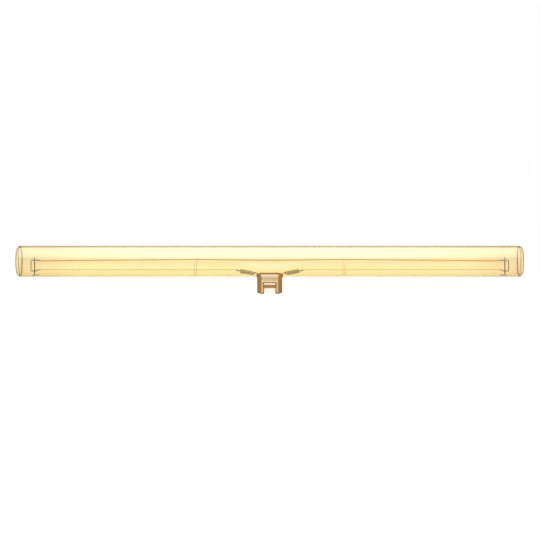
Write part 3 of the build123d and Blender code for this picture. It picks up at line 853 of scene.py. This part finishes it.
# One punch goes through both walls for the window and the notch, and flares at each to leave a rolled edge.
bpy.ops.object.select_all(action="DESELECT")
bpy.ops.mesh.primitive_plane_add(size=1, location=(0, -cap_depth, 0), rotation=(pi / 2, 0, 0))
punch = bpy.context.object
punch.scale = (opening_width, 2 * opening_height, 1)
bpy.ops.object.transform_apply(location=True, rotation=True, scale=True)
select_where(punch, "vertices", lambda vertex: vertex.co.z > 0)
bpy.ops.mesh.bevel(offset_type="OFFSET", offset=opening_corner, segments=6, affect="VERTICES")
bpy.ops.mesh.select_all(action="SELECT")
roll = [(cap_depth / 2 - roll_depth * (1 - cos(radians(a))), roll_width * (1 - sin(radians(a))))
        for a in roll_steps]
front_roll = [(-y, outward) for y, outward in roll]
back_roll = list(reversed(roll))
y_now = -cap_depth
wide_now = opening_width / 2
high_now = opening_height
for y, outward in [(-cap_depth, roll_width)] + front_roll + back_roll + [(cap_depth, roll_width)]:
    if y > y_now:
        bpy.ops.mesh.extrude_region_move(TRANSFORM_OT_translate={"value": (0, y - y_now, 0)})
    wide = opening_width / 2 + outward
    high = opening_height + outward
    bpy.ops.transform.resize(value=(wide / wide_now, 1, high / high_now), center_override=(0, 0, 0))
    y_now, wide_now, high_now = y, wide, high
bpy.ops.mesh.select_all(action="SELECT")
bpy.ops.mesh.normals_make_consistent(inside=False)
bpy.ops.object.mode_set(mode="OBJECT")
cut_or_join(shell, punch, "DIFFERENCE")

# The bar between them slants in towards its lower edge, and a copy turned half round is the one at the back.
bar_middle_y = bar_thickness / 2 - bar_front
bar_middle_z = bar_bottom + bar_height / 2
bpy.ops.object.select_all(action="DESELECT")
bpy.ops.mesh.primitive_cube_add(size=1, location=(0, bar_middle_y, bar_middle_z))
bar = bpy.context.object
bar.scale = (bar_length, bar_thickness, bar_height)
bpy.ops.object.transform_apply(location=True, rotation=True, scale=True)
select_where(bar, "vertices", lambda vertex: vertex.co.y < bar_middle_y and vertex.co.z < bar_middle_z)
bpy.ops.transform.translate(value=(0, bar_ramp, 0))
bpy.ops.object.mode_set(mode="OBJECT")
across = [vertex.co.x for vertex in bar.data.vertices]
select_where(bar, "edges", lambda edge: abs(across[edge.vertices[0]] - across[edge.vertices[1]]) > mm)
bpy.ops.mesh.bevel(offset_type="OFFSET", offset=bar_round, segments=4, affect="EDGES")
bpy.ops.mesh.select_all(action="SELECT")
bpy.ops.mesh.duplicate()
bpy.ops.transform.rotate(value=pi, orient_axis="Z", center_override=(0, 0, 0))
bpy.ops.object.mode_set(mode="OBJECT")
cut_or_join(shell, bar, "UNION")
bpy.ops.object.mode_set(mode="EDIT")
bpy.ops.mesh.select_all(action="SELECT")
bpy.ops.mesh.remove_doubles(threshold=merge_reach)
bpy.ops.object.mode_set(mode="OBJECT")
bpy.ops.object.shade_smooth_by_angle(angle=radians(35))
flats = shell.modifiers.new("Flat faces first", "WEIGHTED_NORMAL")
flats.keep_sharp = True
bpy.ops.object.modifier_apply(modifier=flats.name)

# Satin brass plate: a warm, slightly brushed metal that shows soft blurred reflections. Painted shade
# darkens it in an olive line along its rim where it meets the glass, in a line round the window, at its
# corners, on its feet and beside the notch, and a painted highlight brightens a band above the window.
draw_mark = 0.8 * mm
# Width of the painted olive shade along the rim, and where it turns paler
rim_shade_width = 0.7 * mm
rim_paler = (8.0 * mm, 10.0 * mm)
# Painted shade on the corners, and darker at their outermost edges
corner_across = (7.0 * mm, 8.4 * mm)
corner_inward = (3.6 * mm, 5.0 * mm)
corner_outermost = (11.5 * mm, 12.2 * mm)
corner_painted_shade = (0.86, 0.74, 0.55, 1.0)
outermost_painted_shade = (0.5, 0.48, 0.5, 1.0)
# Painted dark line round the window
window_shade_width = 0.8 * mm
window_stretch = (1.0, 1.0, 1.8)
window_middle = (opening_height + bar_bottom) / 2
window_half_height = (opening_height - bar_bottom) / 2
# Height of the painted highlight above the window
highlight_reach = 2.5 * mm
# Painted shade on the lower edges of the outer feet and beside the notch
foot_shade_band = (0.35 * mm, 1.1 * mm)
foot_sides = (foot_reach - 0.6 * mm, foot_reach + 0.2 * mm)
notch_sides = (opening_width / 2 + 0.5 * mm, opening_width / 2 + 1.1 * mm)
notch_top = (3.0 * mm, 4.0 * mm)
unmarked = (0.0, 0.0, 0.0, 1.0)
lightly_shaded = (0.25, 0.25, 0.25, 1.0)
fully_shaded = (0.9, 0.9, 0.9, 1.0)
satin_brass, tree = new_finish("satin_brass_plate")
place = add_node(tree, "ShaderNodeTexCoord")
along = add_node(tree, "ShaderNodeMapping", {"Vector": place.outputs["Object"], "Scale": (1.0, 1.0, 0.08)})
marks = add_node(tree, "ShaderNodeTexNoise", {
    "Vector": along.outputs["Vector"], "Scale": 1 / draw_mark, "Detail": 3.0})
brass_tone = add_node(tree, "ShaderNodeValToRGB", {"Fac": marks.outputs["Fac"]},
    stops=[(0.3, linear("E2C08E")), (0.7, linear("EDCFA4"))])

# Painted shade on the rounded corners, darkest at their outermost edges, where the metal shows the dark
# sides
folded = add_node(tree, "ShaderNodeVectorMath", {0: place.outputs["Object"]}, operation="ABSOLUTE")
parts = add_node(tree, "ShaderNodeSeparateXYZ", {"Vector": folded.outputs["Vector"]})
across = add_node(tree, "ShaderNodeMapRange", {
    "Value": parts.outputs["X"], "From Min": corner_across[0], "From Max": corner_across[1]})
inward = add_node(tree, "ShaderNodeMapRange", {
    "Value": parts.outputs["Y"], "From Min": corner_inward[0], "From Max": corner_inward[1]})
corner_shaded = add_node(tree, "ShaderNodeMath", {
    0: across.outputs["Result"], 1: inward.outputs["Result"]}, operation="MULTIPLY")
brass_tone = add_node(tree, "ShaderNodeMix", {
    "Factor": corner_shaded.outputs[0], 6: brass_tone.outputs["Color"], 7: corner_painted_shade},
    data_type="RGBA", blend_type="MULTIPLY")
outermost = add_node(tree, "ShaderNodeMapRange", {
    "Value": parts.outputs["X"], "From Min": corner_outermost[0], "From Max": corner_outermost[1]})
outermost = add_node(tree, "ShaderNodeMath", {
    0: outermost.outputs["Result"], 1: inward.outputs["Result"]}, operation="MULTIPLY")
brass_tone = add_node(tree, "ShaderNodeMix", {
    "Factor": outermost.outputs[0], 6: brass_tone.outputs[2], 7: outermost_painted_shade},
    data_type="RGBA", blend_type="MULTIPLY")

# Painted olive shade along the saddle rim, in the joint where the cap meets the glass, paler towards the
# corners
from_axis = add_node(tree, "ShaderNodeMapping", {
    "Vector": place.outputs["Object"], "Location": (0, 0, -axis_height), "Scale": (0.0, 1.0, 1.0)})
distance = add_node(tree, "ShaderNodeVectorMath", {0: from_axis.outputs["Vector"]}, operation="LENGTH")
rim_shaded = add_node(tree, "ShaderNodeMapRange", {
    "Value": distance.outputs["Value"], "From Min": tube_radius + 0.6 * rim_shade_width,
    "From Max": tube_radius + 1.4 * rim_shade_width, "To Min": 1.0, "To Max": 0.0})
paler = add_node(tree, "ShaderNodeMapRange", {
    "Value": parts.outputs["X"], "From Min": rim_paler[0], "From Max": rim_paler[1],
    "To Min": 1.0, "To Max": 0.2})
rim_shaded = add_node(tree, "ShaderNodeMath", {
    0: rim_shaded.outputs["Result"], 1: paler.outputs["Result"]}, operation="MULTIPLY")
rim_tone = add_node(tree, "ShaderNodeMix", {
    "Factor": rim_shaded.outputs[0], 6: brass_tone.outputs[2], 7: linear("7E6C30")}, data_type="RGBA")

# Painted highlight: a bright band above the window, between the corners
above_window = add_node(tree, "ShaderNodeMapRange", {
    "Value": parts.outputs["Z"], "From Min": opening_height, "From Max": opening_height + highlight_reach})
painted_highlight = add_node(tree, "ShaderNodeValToRGB", {"Fac": above_window.outputs["Result"]},
    stops=[(0.12, unmarked), (0.25, clear), (0.5, clear), (0.9, unmarked)])
highlight_tone = add_node(tree, "ShaderNodeMix", {
    "Factor": painted_highlight.outputs["Color"], 6: rim_tone.outputs[2], 7: linear("FAE2B6")}, data_type="RGBA")
highlight_tone = add_node(tree, "ShaderNodeMix", {
    "Factor": across.outputs["Result"], 6: highlight_tone.outputs[2], 7: rim_tone.outputs[2]},
    data_type="RGBA")

# Painted shade: a dark line round the window, where its rolled edge turns in
window_place = add_node(tree, "ShaderNodeVectorMath", {
    0: place.outputs["Object"], 1: (0, 0, -window_middle)}, operation="ADD")
window_place = add_node(tree, "ShaderNodeVectorMath", {
    0: window_place.outputs["Vector"]}, operation="ABSOLUTE")
past_edge = add_node(tree, "ShaderNodeVectorMath", {
    0: window_place.outputs["Vector"], 1: (opening_width / 2, 1.0, window_half_height)},
    operation="SUBTRACT")
past_edge = add_node(tree, "ShaderNodeVectorMath", {
    0: past_edge.outputs["Vector"], 1: (0, 0, 0)}, operation="MAXIMUM")
past_edge = add_node(tree, "ShaderNodeVectorMath", {
    0: past_edge.outputs["Vector"], 1: window_stretch}, operation="MULTIPLY")
from_window = add_node(tree, "ShaderNodeVectorMath", {0: past_edge.outputs["Vector"]}, operation="LENGTH")
shade_reach = add_node(tree, "ShaderNodeMapRange", {
    "Value": from_window.outputs["Value"], "From Max": window_shade_width})
window_shaded = add_node(tree, "ShaderNodeValToRGB", {"Fac": shade_reach.outputs["Result"]},
    stops=[(0.0, lightly_shaded), (0.06, fully_shaded), (0.55, fully_shaded), (1.0, unmarked)])
edge_tone = add_node(tree, "ShaderNodeMix", {
    "Factor": window_shaded.outputs["Color"], 6: highlight_tone.outputs[2], 7: linear("A87C4A")}, data_type="RGBA")

# Painted shade along the lower edges of the outer feet and on both sides of the notch, low down
slanted = add_node(tree, "ShaderNodeMapRange", {
    "Value": parts.outputs["X"], "From Min": foot_reach, "From Max": foot_reach + foot_slant,
    "To Max": side_rise})
above_foot = add_node(tree, "ShaderNodeMath", {
    0: parts.outputs["Z"], 1: slanted.outputs["Result"]}, operation="SUBTRACT")
foot_shaded = add_node(tree, "ShaderNodeMapRange", {
    "Value": above_foot.outputs[0], "From Min": foot_shade_band[0], "From Max": foot_shade_band[1],
    "To Min": 1.0, "To Max": 0.0})
outer_foot = add_node(tree, "ShaderNodeMapRange", {
    "Value": parts.outputs["X"], "From Min": foot_sides[0], "From Max": foot_sides[1]})
foot_shaded = add_node(tree, "ShaderNodeMath", {
    0: foot_shaded.outputs["Result"], 1: outer_foot.outputs["Result"]}, operation="MULTIPLY")
from_notch = add_node(tree, "ShaderNodeMapRange", {
    "Value": parts.outputs["X"], "From Min": notch_sides[0], "From Max": notch_sides[1],
    "To Min": 1.0, "To Max": 0.0})
low_down = add_node(tree, "ShaderNodeMapRange", {
    "Value": parts.outputs["Z"], "From Min": notch_top[0], "From Max": notch_top[1],
    "To Min": 1.0, "To Max": 0.0})
at_notch = add_node(tree, "ShaderNodeMath", {
    0: from_notch.outputs["Result"], 1: low_down.outputs["Result"]}, operation="MULTIPLY")
low_edge_shade = add_node(tree, "ShaderNodeMath", {
    0: foot_shaded.outputs[0], 1: at_notch.outputs[0]}, operation="MAXIMUM")
foot_tone = add_node(tree, "ShaderNodeMix", {
    "Factor": low_edge_shade.outputs[0], 6: edge_tone.outputs[2], 7: linear("7C5E3C")}, data_type="RGBA")
satin = add_node(tree, "ShaderNodeMapRange", {"Value": marks.outputs["Fac"], "To Min": 0.16, "To Max": 0.26})
shader = add_node(tree, "ShaderNodeBsdfPrincipled", {
    "Base Color": foot_tone.outputs[2], "Metallic": 1.0, "Roughness": satin.outputs["Result"]})
add_node(tree, "ShaderNodeOutputMaterial", {"Surface": shader.outputs["BSDF"]})
fit(shell, satin_brass, "cap_brass", "cap_shell")

# Studio floor
# A plain white table that the cap stands on, which keeps the lamp's own soft shadow. Metal shows it lit in
# front, dark under the lamp, warm and dim at the cap's sides and dark far behind. Glass shows it white, with
# a slight shade behind the lamp's two ends.
floor_size = 12.0
floor_reach = 0.8
# The zones hold painted light and shade; just behind the lamp they are warm, a painted glow of light that
# came through the gold glass
floor_in_metal = [
    (-0.8, (0.62, 0.62, 0.62)), (-0.2, (0.88, 0.86, 0.84)), (-0.1, (1.1, 1.08, 1.06)),
    (-0.08, (1.2, 1.3, 1.8)), (-0.042, (1.2, 1.28, 1.75)), (-0.03, (0.6, 0.5, 0.38)),
    (-0.012, (0.54, 0.44, 0.3)), (0.0, (0.4, 0.36, 0.28)),
    (0.012, (1.12, 1.0, 0.75)), (0.75, (1.08, 1.04, 0.96))]
floor_through_glass = [
    (-0.8, (1.0, 1.0, 1.0)), (-0.1, (1.1, 1.1, 1.1)), (0.0, (1.05, 1.03, 1.0)), (0.012, (1.2, 1.08, 0.85)),
    (0.2, (1.08, 1.0, 0.86)), (0.75, (1.11, 1.09, 1.03))]
left_shade = (0.5, 0.5, 0.29, 1.0)
right_shade = (0.6, 0.46, 0.34, 1.0)
back_shade = (0.18, 0.15, 0.19, 1.0)
end_shade = (0.8, 0.78, 0.84, 1.0)
side_slant = 4.0
side_edge = (0.004, 0.03)
side_end = (0.012, 0.03)
side_change = (-0.005, 0.005)
back_edge = (0.0, 0.03)
back_start = (0.12, 0.3)
back_end = (2.0, 3.0)
back_sides = (0.28, 0.36)
fan_start = 2.1
end_fan = [(0.09, clear), (0.118, end_shade), (0.15, end_shade), (0.25, clear)]
glow_reach = 0.4
table_white, tree = new_finish("plain_white_table")
rays = add_node(tree, "ShaderNodeLightPath")
place = add_node(tree, "ShaderNodeTexCoord")
parts = add_node(tree, "ShaderNodeSeparateXYZ", {"Vector": place.outputs["Object"]})
folded = add_node(tree, "ShaderNodeVectorMath", {0: place.outputs["Object"]}, operation="ABSOLUTE")
sideways = add_node(tree, "ShaderNodeMath", {0: parts.outputs["X"]}, operation="ABSOLUTE")
depth = add_node(tree, "ShaderNodeMapRange", {
    "Value": parts.outputs["Y"], "From Min": -floor_reach, "From Max": floor_reach})
zones = [add_node(tree, "ShaderNodeValToRGB", {"Fac": depth.outputs["Result"]},
                  stops=[((y + floor_reach) / (2 * floor_reach), level + (1.0,)) for y, level in stops])
         for stops in (floor_in_metal, floor_through_glass)]

# Shades at the cap's two sides, as metal shows them
slant = add_node(tree, "ShaderNodeMath", {
    0: sideways.outputs[0], 1: side_slant, 2: parts.outputs["Y"]}, operation="MULTIPLY_ADD")
beside = add_node(tree, "ShaderNodeMapRange", {
    "Value": slant.outputs[0], "From Min": side_edge[0], "From Max": side_edge[1]})
before = add_node(tree, "ShaderNodeMapRange", {
    "Value": parts.outputs["Y"], "From Min": side_end[0], "From Max": side_end[1],
    "To Min": 1.0, "To Max": 0.0})
at_side = add_node(tree, "ShaderNodeMath", {
    0: beside.outputs["Result"], 1: before.outputs["Result"]}, operation="MULTIPLY")
to_right = add_node(tree, "ShaderNodeMapRange", {
    "Value": parts.outputs["X"], "From Min": side_change[0], "From Max": side_change[1]})
side_shade = add_node(tree, "ShaderNodeMix", {
    "Factor": to_right.outputs["Result"], 6: left_shade, 7: right_shade}, data_type="RGBA")
metal_floor = add_node(tree, "ShaderNodeMix", {
    "Factor": at_side.outputs[0], 6: zones[0].outputs["Color"], 7: side_shade.outputs[2]},
    data_type="RGBA")

# Dark zone behind the lamp, as metal shows it
behind = add_node(tree, "ShaderNodeMapRange", {
    "Value": parts.outputs["Y"], "From Min": back_edge[0], "From Max": back_edge[1]})
away = add_node(tree, "ShaderNodeVectorMath", {0: place.outputs["Object"]}, operation="LENGTH")
far_off = add_node(tree, "ShaderNodeMapRange", {
    "Value": away.outputs["Value"], "From Min": back_start[0], "From Max": back_start[1]})
near_by = add_node(tree, "ShaderNodeMapRange", {
    "Value": away.outputs["Value"], "From Min": back_end[0], "From Max": back_end[1],
    "To Min": 1.0, "To Max": 0.0})
past_ends = add_node(tree, "ShaderNodeMapRange", {
    "Value": sideways.outputs[0], "From Min": back_sides[0], "From Max": back_sides[1],
    "To Min": 1.0, "To Max": 0.3})
at_back = behind
for limit in (far_off, near_by, past_ends):
    at_back = add_node(tree, "ShaderNodeMath", {
        0: at_back.outputs[0], 1: limit.outputs["Result"]}, operation="MULTIPLY")
metal_floor = add_node(tree, "ShaderNodeMix", {
    "Factor": at_back.outputs[0], 6: metal_floor.outputs[2], 7: back_shade}, data_type="RGBA")

# Shade behind the lamp's ends, as glass shows it, in a fan that widens from a point in front of the lamp
fan = add_node(tree, "ShaderNodeMath", {0: parts.outputs["Y"], 1: fan_start}, operation="ADD")
fan = add_node(tree, "ShaderNodeMath", {0: sideways.outputs[0], 1: fan.outputs[0]}, operation="DIVIDE")
dimmed = add_node(tree, "ShaderNodeValToRGB", {"Fac": fan.outputs[0]}, stops=end_fan)
glass_floor = add_node(tree, "ShaderNodeMix", {
    "Factor": 1.0, 6: zones[1].outputs["Color"], 7: dimmed.outputs["Color"]},
    data_type="RGBA", blend_type="MULTIPLY")
tone = add_node(tree, "ShaderNodeMix", {
    "Factor": rays.outputs["Is Transmission Ray"], 6: metal_floor.outputs[2], 7: glass_floor.outputs[2]},
    data_type="RGBA")
reflected = add_node(tree, "ShaderNodeEmission", {"Color": tone.outputs[2]})

# Seen directly, the table is lit and takes the shadow near the lamp, and glows to plain white further off
lit = add_node(tree, "ShaderNodeBsdfDiffuse", {"Color": linear("C0C0C0")})
past_lamp = add_node(tree, "ShaderNodeVectorMath", {
    0: folded.outputs["Vector"], 1: (cad_box[1].x, 0, 0)}, operation="SUBTRACT")
past_lamp = add_node(tree, "ShaderNodeVectorMath", {
    0: past_lamp.outputs["Vector"], 1: (0, 0, 0)}, operation="MAXIMUM")
from_lamp = add_node(tree, "ShaderNodeVectorMath", {0: past_lamp.outputs["Vector"]}, operation="LENGTH")
far_glow = add_node(tree, "ShaderNodeMapRange", {
    "Value": from_lamp.outputs["Value"], "From Min": 0.0, "From Max": glow_reach,
    "To Min": 0.68, "To Max": 1.0})
camera_glow = add_node(tree, "ShaderNodeMath", {
    0: rays.outputs["Is Camera Ray"], 1: far_glow.outputs["Result"]}, operation="MULTIPLY")
white = add_node(tree, "ShaderNodeEmission", {"Strength": camera_glow.outputs[0]})
table = add_node(tree, "ShaderNodeAddShader", {0: white.outputs[0], 1: lit.outputs[0]})
shown = add_node(tree, "ShaderNodeMath", {
    0: rays.outputs["Is Glossy Ray"], 1: rays.outputs["Is Transmission Ray"]}, operation="MAXIMUM")
surface = add_node(tree, "ShaderNodeMixShader", {
    0: shown.outputs[0], 1: table.outputs[0], 2: reflected.outputs[0]})
add_node(tree, "ShaderNodeOutputMaterial", {"Surface": surface.outputs[0]})
bpy.ops.object.select_all(action="DESELECT")
bpy.ops.mesh.primitive_plane_add(size=floor_size)
floor = bpy.context.object
floor.name = "studio_floor"
floor.data.materials.append(table_white)

# Studio light
# A white room with a softbox overhead and one behind the camera. The stops give what metal and glass show,
# by degrees from the front horizon over the top to the back: front wall, softbox, gold cards and back wall.
# Cards at both sides, and shades towards the lamp's ends, give the metal its edges and the glass its depth.
gold_card = (0.70, 0.62, 0.36)
shown_in_metal = [
    (0, (0.88,) * 3), (22, (0.9,) * 3), (34, (4.8,) * 3), (108, (4.8,) * 3),
    (125, gold_card), (154, gold_card), (164, (0.95,) * 3)]
shown_through_glass = [
    (0, (1.4,) * 3), (24, (1.4,) * 3), (33, (1.7,) * 3), (110, (1.7,) * 3),
    (125, gold_card), (154, gold_card), (163, (0.93, 0.91, 0.84)), (170, (0.9, 0.9, 0.88)),
    (174, (0.88,) * 3), (179, (1.1,) * 3)]
metal_cards = ((-0.1, (0.44, 0.37, 0.19, 1.0)), (0.1, (0.48, 0.33, 0.18, 1.0)))
glass_cards = ((-0.6, (0.78, 0.72, 0.52, 1.0)), (0.6, (0.78, 0.72, 0.52, 1.0)))
card_fade = 0.2
card_back = (0.4, 0.7)
near_horizon = (0.015, 0.05)
near_ceiling = (0.25, 0.31)
ceiling_shade = (0.78, 0.72, 0.6, 1.0)
ceiling_fan = [(0.08, clear), (0.115, ceiling_shade), (0.15, ceiling_shade), (0.25, clear)]
fill = (0.45, 0.45, 0.45, 1.0)
studio = bpy.data.worlds.new("white_studio")
studio.use_nodes = True
tree = studio.node_tree
tree.nodes.clear()
rays = add_node(tree, "ShaderNodeLightPath")
direction = add_node(tree, "ShaderNodeTexCoord")
parts = add_node(tree, "ShaderNodeSeparateXYZ", {"Vector": direction.outputs["Generated"]})
forward = add_node(tree, "ShaderNodeMath", {0: parts.outputs["Y"], 1: -1.0}, operation="MULTIPLY")
upward = add_node(tree, "ShaderNodeMath", {0: parts.outputs["Z"], 1: 0.0}, operation="MAXIMUM")
turn_over = add_node(tree, "ShaderNodeMath", {
    0: upward.outputs[0], 1: forward.outputs[0]}, operation="ARCTAN2")
share = add_node(tree, "ShaderNodeMapRange", {"Value": turn_over.outputs[0], "From Max": pi})
facing = add_node(tree, "ShaderNodeMapRange", {
    "Value": parts.outputs["Y"], "From Min": card_back[0], "From Max": card_back[1],
    "To Min": 1.0, "To Max": 0.0})

# The cards that metal shows end towards the back, and those that glass shows go all the way round
room_views = ((shown_in_metal, metal_cards, False), (shown_through_glass, glass_cards, True))
rooms = []
for stops, cards, goes_round in room_views:
    wall_tone = add_node(tree, "ShaderNodeValToRGB", {"Fac": share.outputs["Result"]},
                         stops=[(degrees / 180, level + (1.0,)) for degrees, level in stops])
    room = wall_tone.outputs["Color"]
    for edge, card in cards:
        outward = add_node(tree, "ShaderNodeMapRange", {
            "Value": parts.outputs["X"], "From Min": edge, "From Max": edge * (1 + card_fade / abs(edge))})
        covered = outward.outputs["Result"]
        if not goes_round:
            in_front = add_node(tree, "ShaderNodeMath", {
                0: covered, 1: facing.outputs["Result"]}, operation="MULTIPLY")
            covered = in_front.outputs[0]
        with_card = add_node(tree, "ShaderNodeMix", {"Factor": covered, 6: room, 7: card}, data_type="RGBA")
        room = with_card.outputs[2]
    rooms.append(room)
metal_room, glass_room = rooms

# Shades behind the lamp's ends, low down as on the floor, and browner towards the ceiling
aside = add_node(tree, "ShaderNodeMath", {0: parts.outputs["X"]}, operation="ABSOLUTE")
dimmed = add_node(tree, "ShaderNodeValToRGB", {"Fac": aside.outputs[0]}, stops=end_fan)
low_down = add_node(tree, "ShaderNodeMapRange", {
    "Value": parts.outputs["Z"], "From Min": near_horizon[0], "From Max": near_horizon[1],
    "To Min": 1.0, "To Max": 0.0})
shaded_room = add_node(tree, "ShaderNodeMix", {
    "Factor": low_down.outputs["Result"], 6: glass_room, 7: dimmed.outputs["Color"]},
    data_type="RGBA", blend_type="MULTIPLY")
browner = add_node(tree, "ShaderNodeValToRGB", {"Fac": aside.outputs[0]}, stops=ceiling_fan)
high_up = add_node(tree, "ShaderNodeMapRange", {
    "Value": parts.outputs["Z"], "From Min": near_ceiling[0], "From Max": near_ceiling[1]})
shaded_room = add_node(tree, "ShaderNodeMix", {
    "Factor": high_up.outputs["Result"], 6: shaded_room.outputs[2], 7: browner.outputs["Color"]},
    data_type="RGBA", blend_type="MULTIPLY")
metal = add_node(tree, "ShaderNodeMix", {
    "Factor": rays.outputs["Is Glossy Ray"], 6: fill, 7: metal_room}, data_type="RGBA")
glass = add_node(tree, "ShaderNodeMix", {
    "Factor": rays.outputs["Is Transmission Ray"], 6: metal.outputs[2], 7: shaded_room.outputs[2]},
    data_type="RGBA")
colour = add_node(tree, "ShaderNodeMix", {
    "Factor": rays.outputs["Is Camera Ray"], 6: glass.outputs[2], 7: clear}, data_type="RGBA")
background = add_node(tree, "ShaderNodeBackground", {"Color": colour.outputs[2]})
add_node(tree, "ShaderNodeOutputWorld", {"Surface": background.outputs["Background"]})
bpy.context.scene.world = studio

softboxes = {
    "overhead_softbox": ((0, -0.2, 1.2), (0, 0, 0), 1.6, 0.6),
    "camera_softbox": ((0, -2.3, 0.7), (radians(74), 0, 0), 1.4, 9.0)}
for name, (spot, tilt, width, radiance) in softboxes.items():
    bpy.ops.object.light_add(type="AREA", location=spot, rotation=tilt)
    softbox = bpy.context.object
    softbox.name = name
    softbox.data.size = width
    softbox.data.energy = radiance * pi * width ** 2
    softbox.visible_glossy = False
    softbox.visible_transmission = False

# Camera
# Level with the lamp and square to it, as in the photograph, far enough off to flatten the perspective.
camera_distance = 2.1
view_width = 531.7 * mm
view_middle_x = 0.27 * mm
view_middle_height = 23.64 * mm
bpy.ops.object.camera_add(
    location=(view_middle_x, -camera_distance, view_middle_height), rotation=(pi / 2, 0, 0))
camera = bpy.context.object
camera.data.sensor_width = 36.0
camera.data.lens = camera.data.sensor_width * camera_distance / view_width
camera.data.clip_start = 0.05
camera.data.clip_end = 50.0
bpy.context.scene.camera = camera
bpy.context.scene.view_settings.view_transform = "Standard"
